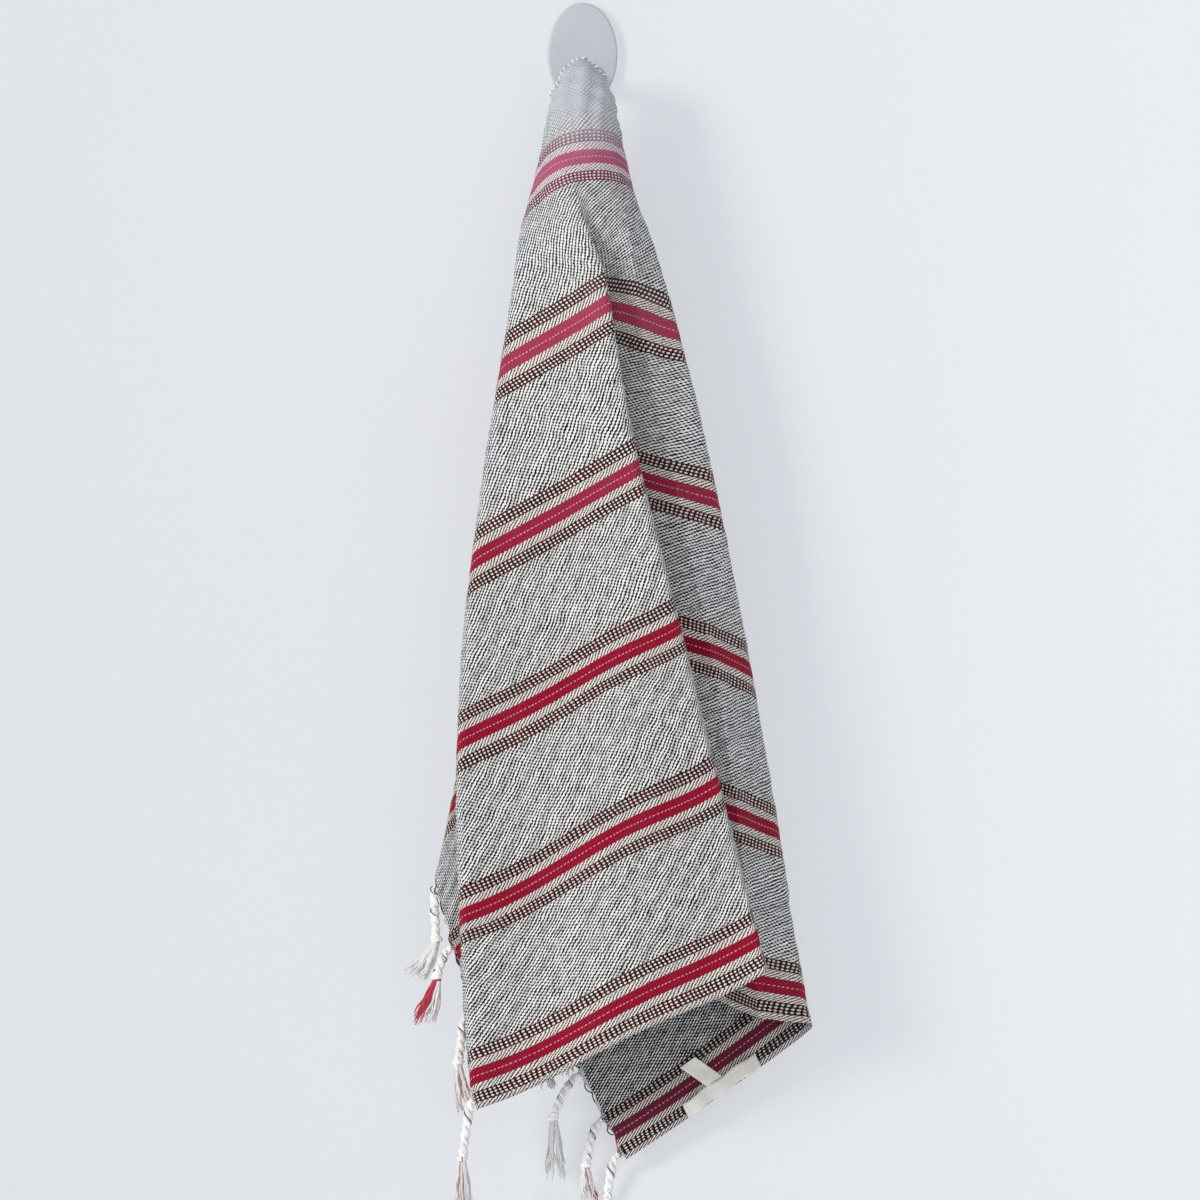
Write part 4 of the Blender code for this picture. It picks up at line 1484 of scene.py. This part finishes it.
    def add_strands(
        self, bundle: YarnBundle, tassel: Tassel, knot: np.ndarray, chance: np.random.Generator
    ) -> None:
        """Lets the loose strands fall from the knot.

        Args:
            bundle: The yarn to add to.
            tassel: The tassel.
            knot: The lower end of the knot.
            chance: The tassel's own random numbers.
        """
        t = np.linspace(0.0, 1.0, 11)
        lock_turns = np.arange(self.locks) + chance.uniform(-0.3, 0.3, self.locks)
        lock_turns = lock_turns * TURN / self.locks
        lock_rings = np.sqrt(chance.uniform(0.05, 1.0, self.locks))
        lock_tints = self.lock_tints(tassel, chance)
        for index in range(self.locks * self.lock_strands):
            lock = index % self.locks
            turn = lock_turns[lock] + chance.uniform(-0.35, 0.35)
            ring = min(1.0, lock_rings[lock] * chance.uniform(0.8, 1.2))
            outwards = np.array((math.cos(turn), math.sin(turn), 0.0)) * ring
            below = tassel.tail_below * chance.uniform(0.72, 1.03)
            bend = np.array((tassel.tail_right * chance.uniform(0.6, 1.25), 0.0, 0.0))
            path = knot + outwards * self.tail_ring + outwards * self.strand_spread * (t**0.8)[:, None]
            path = path + bend * (t**1.4)[:, None]
            path[:, 2] -= below * t
            curl, phase = chance.uniform(*self.strand_curl), chance.uniform(0.0, 6.3)
            turns = TURN * chance.uniform(*self.curl_turns) * t
            path[:, 0] += curl * np.sin(phase + turns) * t
            path[:, 1] += curl * np.cos(phase * 1.7 + turns) * t
            radii = self.strand_radius * tassel.fluff * chance.uniform(0.75, 1.2) * (1 - 0.55 * t**3)
            light = chance.uniform(0.90, 1.0)
            bundle.add(path, radii, tuple(part * light for part in lock_tints[lock]), 4)

    def add_warp_ends(self, bundle: YarnBundle, chance: np.random.Generator) -> None:
        """Draws the cloth's own warp ends together to the nearest tassel.

        Args:
            bundle: The yarn to add to.
            chance: Random numbers for their unevenness.
        """
        sign = self.end.value
        roots = np.array([tassel.down for tassel in self.tassels])
        t = np.linspace(0.0, 1.0, 8)
        starts = np.arange(self.warp_pitch, self.plan.width - self.warp_pitch / 2, self.warp_pitch)
        flats, kinds = [], []
        for index, down in enumerate(starts):
            root = roots[np.argmin(np.abs(roots - down))]
            gap = root - down
            near = math.exp(-abs(gap) / self.gather_reach)
            reach = self.heading * (0.35 + 0.65 * near) * chance.uniform(0.8, 1.1)
            ends_at = down + gap * min(1.0, self.gather_most / max(abs(gap), 1e-6))
            out = -self.tuck_in + (self.tuck_in + reach) * (1 - (1 - t) ** 1.6)
            across = down + (ends_at - down) * t**1.7
            flats.append(np.column_stack((sign * (self.length + out), np.clip(across, 0.0004, None))))
            dyed = index % 2 or chance.random() < self.dyed_share
            kinds.append(self.plan.yarn_at(down) if dyed else Yarn.WHITE)
        flat = np.concatenate(flats)
        points = self.drape.lay(flat)
        _, _, out = self.drape.directions(flat)
        lifts = chance.uniform(-self.warp_lift, self.warp_lift, len(starts))
        rows = len(t)
        for index, kind in enumerate(kinds):
            part = slice(index * rows, (index + 1) * rows)
            lift = (lifts[index] * (0.4 + 0.6 * t))[:, None]
            path = points[part] + out[part] * lift
            radii = self.warp_radius * (1 - 0.3 * t)
            bundle.add(path, radii, YARN_TINTS[kind], 3)

    def add_weft_loops(self, bundle: YarnBundle, chance: np.random.Generator) -> None:
        """Adds the dark weft where it loops out of the cloth's end.

        Args:
            bundle: The yarn to add to.
            chance: Random numbers for their unevenness.
        """
        sign = self.end.value
        t = np.linspace(0.0, 1.0, 10)
        first, last = self.loop_margins
        for down in np.arange(first, self.plan.width - last, self.loop_pitch):
            span = self.loop_pitch * chance.uniform(0.5, 1.1)
            out = self.loop_seat + np.sin(math.pi * t) * chance.uniform(*self.loop_out)
            places = down + chance.uniform(-self.loop_shift, self.loop_shift) + span * t
            flat = np.column_stack((sign * (self.length + out), places))
            lift = self.drape.directions(flat)[2] * chance.uniform(-self.loop_lift, self.loop_lift)
            bundle.add(self.drape.lay(flat) + lift, np.full(len(t), self.loop_radius), WEFT_TINT, 4)

    def build(self) -> bpy.types.Object:
        """Makes the fringe.

        Returns:
            The piece.
        """
        bundle = YarnBundle()
        side = self.end.name.lower()
        self.add_warp_ends(bundle, np.random.default_rng(WARP_SEED))
        self.add_weft_loops(bundle, np.random.default_rng(LOOP_SEED))
        for index, tassel in enumerate(self.tassels):
            chance = np.random.default_rng(FIRST_TASSEL_SEED + index)
            knot = self.add_cord(bundle, tassel, chance)[-1]
            self.add_knot(bundle, tassel, knot, chance)
            self.add_strands(bundle, tassel, knot - np.array((0.0, 0.0, self.tail_gap)), chance)
        piece = bundle.piece(f"tasselled_fringe_{side}", self.yarn)
        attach(piece, ROOT_BODY)
        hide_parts(f"fringe_{side}")
        LOG.info("%s: %d tassels, %d faces", piece.name, len(self.tassels), len(bundle.faces))
        return piece


@dataclass
class LoopedSelvedge:
    """The turns of the weft along the selvedge, where it goes over the hook."""

    drape: Drape
    yarn: bpy.types.Material
    left_angle: float = -64.0  # flat degrees from straight down, where the edge shows
    right_angle: float = 48.0
    left_reach: float = 0.030
    right_reach: float = 0.022
    pitch: float = 0.0026
    loop_radius: float = 0.00125
    thread_radius: float = 0.00058
    samples: int = 12  # to each loop
    nearest: float = 0.0009  # to the hook point
    parting: tuple[float, float] = (-0.002, 0.004)  # where the loops turn to the one side or the other

    def build(self) -> bpy.types.Object:
        """Makes the loops as one wound thread.

        Returns:
            The piece.
        """
        step = self.pitch / self.samples
        run = np.arange(-self.left_reach, self.right_reach, step)
        angle = np.radians(np.where(run < 0, self.left_angle, self.right_angle))
        angle = angle * smooth_step(np.abs(run), *self.parting)
        distance = np.maximum(np.abs(run), self.nearest)
        flat = np.column_stack((distance * np.sin(angle), distance * np.cos(angle)))
        _, _, out = self.drape.directions(flat)
        line = self.drape.lay(flat)
        aside = np.cross(unit(np.gradient(line, axis=0)), out)
        turn = TURN * run / self.pitch
        # The loops are uneven, with beats in radians to the metre.
        size = self.loop_radius * (1 + 0.30 * np.sin(run * 900.0) + 0.22 * np.sin(run * 2300.0 + 1.0))
        path = line + aside * (np.cos(turn) * size)[:, None] + out * (np.sin(turn) * size)[:, None]
        bundle = YarnBundle()
        bundle.add(path, np.full(len(run), self.thread_radius), LOOP_TINT, 6)
        piece = bundle.piece("looped_selvedge", self.yarn)
        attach(piece, ROOT_BODY)
        LOG.info("%s: %d faces", piece.name, len(bundle.faces))
        return piece


# --- The labels -------------------------------------------------------------------------------------
@dataclass
class Labels:
    """The blank name label along the lower selvedge, its stitches, and the small tab under it."""

    drape: Drape
    tape: bpy.types.Material
    thread: bpy.types.Material
    left: float = 0.2935
    right: float = 0.3365
    top: float = 0.4852
    bottom: float = 0.4951
    tab_root: float = 0.3170
    tab_width: float = 0.009
    tab_length: float = 0.0215
    tab_slant: float = 0.0085
    tab_lift: float = 0.003
    thickness: float = 0.0005
    seat: float = 0.0013  # from the cloth's middle to the label's
    waves: float = 3.0  # along the name label
    wave_height: float = 0.0016
    sideways: float = 0.0006  # how far the label's edges wander
    stitch_length: float = 0.0016
    stitch_inset: float = 0.0013
    stitch_radius: float = 0.00016
    stitch_pitch: float = 1.25  # in stitch lengths
    stitch_margins: tuple[float, float] = (0.0010, 0.0012)  # from the label's upper and lower edge
    stitch_rise: float = 0.0005
    end_curl: float = 0.006  # how far from its ends the name label stands proud
    end_height: float = 0.0006
    fine_height: float = 0.00015
    tab_under: float = 0.0008  # how far the tab reaches under the name label
    tab_wave: float = 0.0003
    tab_cup: float = 0.0004
    columns: int = 45
    rows: int = 9
    tab_rows: int = 25

    def strip(self, name: str, node: str, flat: np.ndarray, lift: np.ndarray) -> bpy.types.Object:
        """Makes one label as a thin closed strip on the wrong side.

        Args:
            name: The piece's name.
            node: The node it replaces.
            flat: Its flat places, columns by rows.
            lift: How far each of them stands off its seat.

        Returns:
            The piece.
        """
        places = flat.reshape(-1, 2)
        _, _, out = self.drape.directions(places)
        middle = self.drape.lay(places) + out * (self.seat + lift.reshape(-1, 1))
        shape = (*flat.shape[:2], 3)
        points, faces, sides = sheet_mesh(middle.reshape(shape), out.reshape(shape), flat, self.thickness)
        piece = add_piece(name, points, faces, self.tape, {"flat": sides})
        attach(piece, ROOT_BODY)
        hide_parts(node)
        LOG.info("%s: %d faces", piece.name, len(faces))
        return piece

    def name_label(self) -> bpy.types.Object:
        """Makes the long label, its two ends a little proud.

        Returns:
            The piece.
        """
        along = np.linspace(self.left, self.right, self.columns)
        down = np.linspace(self.top, self.bottom, self.rows)
        flat = np.stack(np.meshgrid(along, down, indexing="ij"), axis=2)
        share = (along - self.left) / (self.right - self.left)
        flat[:, :, 1] += self.sideways * np.sin(15.0 * share + 0.5)[:, None]
        end = np.minimum(along - self.left, self.right - along) / self.end_curl
        wave = np.sin(np.pi * self.waves * share) ** 2
        lift = self.end_height * np.exp(-(end**2)) + self.wave_height * wave
        lift = lift[:, None] + self.fine_height * np.sin(down * 1900.0)[None, :]
        return self.strip("blank_name_label", "name_label", flat, np.broadcast_to(lift, flat.shape[:2]))

    def care_label(self) -> bpy.types.Object:
        """Makes the small tab, which curls away from the cloth towards its tip.

        Returns:
            The piece.
        """
        way = np.linspace(0.0, 1.0, self.tab_rows)
        half = np.linspace(-0.5, 0.5, self.rows) * self.tab_width
        along = self.tab_root + self.tab_slant * way[None, :] + half[:, None]
        down = np.broadcast_to(self.top + self.tab_under - self.tab_length * way, along.shape)
        lift = self.tab_lift * way**2 + self.tab_wave * np.sin(way * 9.0)
        cupped = self.tab_cup * (half / self.tab_width * 2) ** 2
        lift = lift[None, :] + cupped[:, None] * way[None, :]
        return self.strip("blank_care_label", "care_label", np.stack((along, down), axis=2), lift)

    def stitches(self) -> bpy.types.Object:
        """Makes the short stitches that hold the long label at its ends.

        Returns:
            The piece.
        """
        bundle = YarnBundle()
        t = np.linspace(0.0, 1.0, 5)
        above, below = self.stitch_margins
        pitch = self.stitch_length * self.stitch_pitch
        for along in (self.left + self.stitch_inset, self.right - self.stitch_inset):
            for down in np.arange(self.top + above, self.bottom - below, pitch):
                flat = np.column_stack((np.full(len(t), along), down + self.stitch_length * t))
                _, _, out = self.drape.directions(flat)
                rise = self.stitch_rise * np.sin(math.pi * t)
                height = self.seat + self.thickness / 2 + rise + 0.0003
                path = self.drape.lay(flat) + out * height[:, None]
                bundle.add(path, np.full(len(t), self.stitch_radius), THREAD_TINT, 5)
        piece = bundle.piece("label_stitches", self.thread)
        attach(piece, ROOT_BODY)
        LOG.info("%s: %d faces", piece.name, len(bundle.faces))
        return piece

    def build(self) -> list[bpy.types.Object]:
        """Makes both labels and the stitches.

        Returns:
            The pieces.
        """
        return [self.name_label(), self.care_label(), self.stitches()]


# --- The hook ---------------------------------------------------------------------------------------
@dataclass
class WallHook:
    """The plain hook: an upright oval plate and a turned peg with a ball end."""

    paint: bpy.types.Material
    thickness: float = 0.005
    edge_round: float = 0.0012
    rim_sides: int = 128
    reach: float = 0.050
    ball_radius: float = 0.0095
    ball_z: float = -0.0145
    peg_radius: float = 0.0042
    peg_sides: int = 48
    flange_radius: float = 0.0085
    flange_length: float = 0.003
    flange_round: float = 0.0007
    fillet: float = 0.0008  # between the flange and the peg
    ball_steps: int = 12
    ball_close: float = 0.97  # how much of the ball's front is round before its flat tip
    dome_steps: int = 3  # rings of the plate's slightly domed face
    dome_step: float = 0.003
    dome_rise: float = 0.00008
    smooth_below: float = 50.0  # degrees between faces that are shaded as one

    def select_front(self, piece: bpy.types.Object, forward: float) -> None:
        """Selects the faces of a piece that look along -Y at a depth, in edit mode.

        Args:
            piece: The piece.
            forward: How far the faces lie in front of the wall.
        """
        bpy.ops.mesh.select_all(action="DESELECT")
        bpy.ops.mesh.select_mode(type="FACE")
        bpy.ops.object.mode_set(mode="OBJECT")
        for face in piece.data.polygons:
            face.select = face.normal.y < -0.99 and abs(face.center.y + forward) < 1e-4
        bpy.ops.object.mode_set(mode="EDIT")

    def disc(
        self, name: str, sides: int, size: tuple[float, float], depth: float, back: float, up: float
    ) -> bpy.types.Object:
        """Adds an upright disc that looks along -Y, with its front face selected in edit mode.

        Args:
            name: The piece's name.
            sides: How many sides its rim has.
            size: Its width and height.
            depth: How thick it is.
            back: How far its back lies in front of the wall.
            up: Where its middle lies.

        Returns:
            The piece.
        """
        deselect()
        bpy.ops.mesh.primitive_cylinder_add(
            vertices=sides,
            radius=0.5,
            depth=depth,
            location=(0.0, -back - depth / 2, up),
            rotation=(math.pi / 2, 0.0, 0.0),
        )
        piece = bpy.context.object
        piece.name = name
        piece.scale = (*size, 1.0)
        bpy.ops.object.transform_apply(location=True, rotation=True, scale=True)
        piece.data.materials.append(self.paint)
        bpy.ops.object.mode_set(mode="EDIT")
        self.select_front(piece, back + depth)
        return piece

    def round_front(self, piece: bpy.types.Object, forward: float, radius: float, segments: int) -> None:
        """Rounds the rim of the selected front face, and selects what is left of the face."""
        bpy.ops.mesh.bevel(offset=radius, segments=segments, affect="EDGES")
        self.select_front(piece, forward)

    def finish_piece(self, piece: bpy.types.Object, node: str) -> bpy.types.Object:
        """Args:
            piece: The piece, in edit mode.
            node: The node that it replaces.

        Returns:
            The piece.
        """
        bpy.ops.mesh.select_all(action="SELECT")
        bpy.ops.mesh.normals_make_consistent(inside=False)
        bpy.ops.object.mode_set(mode="OBJECT")
        bpy.ops.object.shade_smooth_by_angle(angle=math.radians(self.smooth_below))
        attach(piece, ROOT_BODY)
        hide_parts(node)
        LOG.info("%s: %d faces", piece.name, len(piece.data.polygons))
        return piece

    def plate(self) -> bpy.types.Object:
        """Makes the oval plate with a rounded front rim.

        Returns:
            The piece.
        """
        low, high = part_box("hook_plate")
        size = (high.x - low.x, high.z - low.z)
        piece = self.disc("oval_hook_plate", self.rim_sides, size, self.thickness, 0.0, 0.0)
        self.round_front(piece, self.thickness, self.edge_round, 5)
        for step in range(self.dome_steps):
            bpy.ops.mesh.inset(thickness=self.dome_step)
            rise = self.dome_rise * (self.dome_steps - step)
            bpy.ops.transform.translate(value=(0.0, -rise, 0.0))
        return self.finish_piece(piece, "hook_plate")

    def peg(self) -> bpy.types.Object:
        """Turns the peg: a flange, a neck and a ball, drawn out of a disc step by step.

        Returns:
            The piece.
        """
        start = -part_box("hook_peg")[1].y
        axis = Vector((0.0, 0.0, self.ball_z))
        size = (2 * self.flange_radius, 2 * self.flange_radius)
        piece = self.disc(
            "turned_hook_peg", self.peg_sides, size, self.flange_length, start, self.ball_z
        )
        forward = start + self.flange_length
        self.round_front(piece, forward, self.flange_round, 3)
        radius = self.flange_radius - self.flange_round
        neck = math.acos(self.peg_radius / self.ball_radius)
        stations = [(forward, self.peg_radius * 1.25), (forward + self.fillet, self.peg_radius)]
        for angle in np.linspace(neck, -math.pi / 2 * self.ball_close, self.ball_steps):
            out = self.reach - self.ball_radius * math.sin(angle)
            stations.append((out, self.ball_radius * math.cos(angle)))
        for out, wanted in stations:
            bpy.ops.mesh.extrude_region_move(TRANSFORM_OT_translate={"value": (0.0, forward - out, 0.0)})
            share = wanted / radius
            center = axis - Vector((0, out, 0))
            bpy.ops.transform.resize(value=(share, 1.0, share), center_override=center)
            forward, radius = out, wanted
        bpy.ops.mesh.select_all(action="SELECT")
        bpy.ops.mesh.remove_doubles(threshold=1e-6)
        return self.finish_piece(piece, "hook_peg")

    def build(self) -> list[bpy.types.Object]:
        """Makes the plate and the peg.

        Returns:
            The pieces.
        """
        return [self.plate(), self.peg()]


# --- The studio -------------------------------------------------------------------------------------
class Lamp(NamedTuple):
    """A soft square lamp that looks at the towel."""

    name: str
    place: Spot
    side: float
    watts: float
    color: Color


LAMPS = (
    Lamp("key", (-2.7, -2.7, 0.8), 1.1, 86.0, (1.0, 0.985, 0.96)),
    Lamp("fill", (0.7, -3.9, 0.3), 2.4, 23.0, (0.97, 0.98, 1.0)),
)


@dataclass
class Studio:
    """The pale wall and floor, the soft light and the camera straight in front."""

    paint: bpy.types.Material
    frame_height: float = 0.6742  # what the picture spans, at the towel
    frame_right: float = 0.0098  # the picture's middle
    frame_up: float = -0.3076
    camera_distance: float = 12.0
    towel_forward: float = 0.050
    wall_gap: float = 0.001  # behind the hook plate's back
    half_width: float = 9.0
    room_height: float = 6.0
    floor_z: float = -1.05
    cove_radius: float = 0.6
    cove_steps: int = 16
    ambient: float = 0.35
    sky: Color = (0.90, 0.93, 0.98)
    sensor: float = 36.0  # millimetres
    clip_end: float = 60.0

    def add_room(self) -> None:
        """Makes the wall and the floor as one sweep, its front towards the towel."""
        line = [(self.wall_gap, self.room_height)]
        for step in range(self.cove_steps + 1):
            angle = math.pi / 2 * step / self.cove_steps
            out = self.wall_gap - self.cove_radius * (1 - math.cos(angle))
            line.append((out, self.floor_z + self.cove_radius * (1 - math.sin(angle))))
        line.append((-self.half_width, self.floor_z))
        points = np.array([(x, y, z) for y, z in line for x in (-self.half_width, self.half_width)])
        faces = [(i, i + 2, i + 3, i + 1) for i in range(0, len(points) - 2, 2)]
        sweep = add_piece("room", points, faces, self.paint, {})

    def add_lamp(self, lamp: Lamp) -> None:
        """Adds one lamp and points it at the towel.

        Args:
            lamp: The lamp.
        """
        data = bpy.data.lights.new(lamp.name, "AREA")
        data.energy, data.size, data.color = lamp.watts, lamp.side, lamp.color
        piece = bpy.data.objects.new(lamp.name, data)
        piece.location = lamp.place
        aim = Vector((self.frame_right, -self.towel_forward, self.frame_up)) - Vector(lamp.place)
        piece.rotation_euler = aim.to_track_quat("-Z", "Y").to_euler()
        piece.visible_camera = False
        bpy.context.scene.collection.objects.link(piece)

    def add_camera(self) -> None:
        """Adds the camera, straight in front of the wall."""
        data = bpy.data.cameras.new("camera")
        data.sensor_width = self.sensor
        data.lens = self.sensor * self.camera_distance / self.frame_height
        data.clip_end = self.clip_end
        camera = bpy.data.objects.new("camera", data)
        camera.location = (self.frame_right, -self.camera_distance - self.towel_forward, self.frame_up)
        camera.rotation_euler = (math.pi / 2, 0.0, 0.0)
        bpy.context.scene.collection.objects.link(camera)
        bpy.context.scene.camera = camera

    def build(self) -> None:
        """Sets up the room, the lamps, the sky and the camera."""
        self.add_room()
        for lamp in LAMPS:
            self.add_lamp(lamp)
        world = bpy.data.worlds.new("soft_room_light")
        world.use_nodes = True
        sky = world.node_tree.nodes["Background"]
        sky.inputs["Color"].default_value = (*self.sky, 1.0)
        sky.inputs["Strength"].default_value = self.ambient
        bpy.context.scene.world = world
        bpy.context.scene.view_settings.view_transform = "Standard"
        self.add_camera()
        LOG.info("studio ready")


def main() -> None:
    """Builds the towel, its fringes, labels and hook, and the studio."""
    logging.basicConfig(level=logging.INFO, format="%(message)s")
    plan = StripePlan()
    drape = Drape()
    yarn = FringeYarn().build()
    tape = CottonTape().build()
    cloth = TowelCloth(drape, HandwovenCotton(plan).build()).build()
    left = Fringe(drape, plan, End.LEFT, LEFT_TASSELS, yarn).build()
    right = Fringe(drape, plan, End.RIGHT, RIGHT_TASSELS, yarn).build()
    edge = LoopedSelvedge(drape, yarn).build()
    labels = Labels(drape, tape, yarn).build()
    WallHook(SatinPaint().build()).build()
    Studio(RoomPaint().build()).build()


if __name__ == "__main__":
    main()
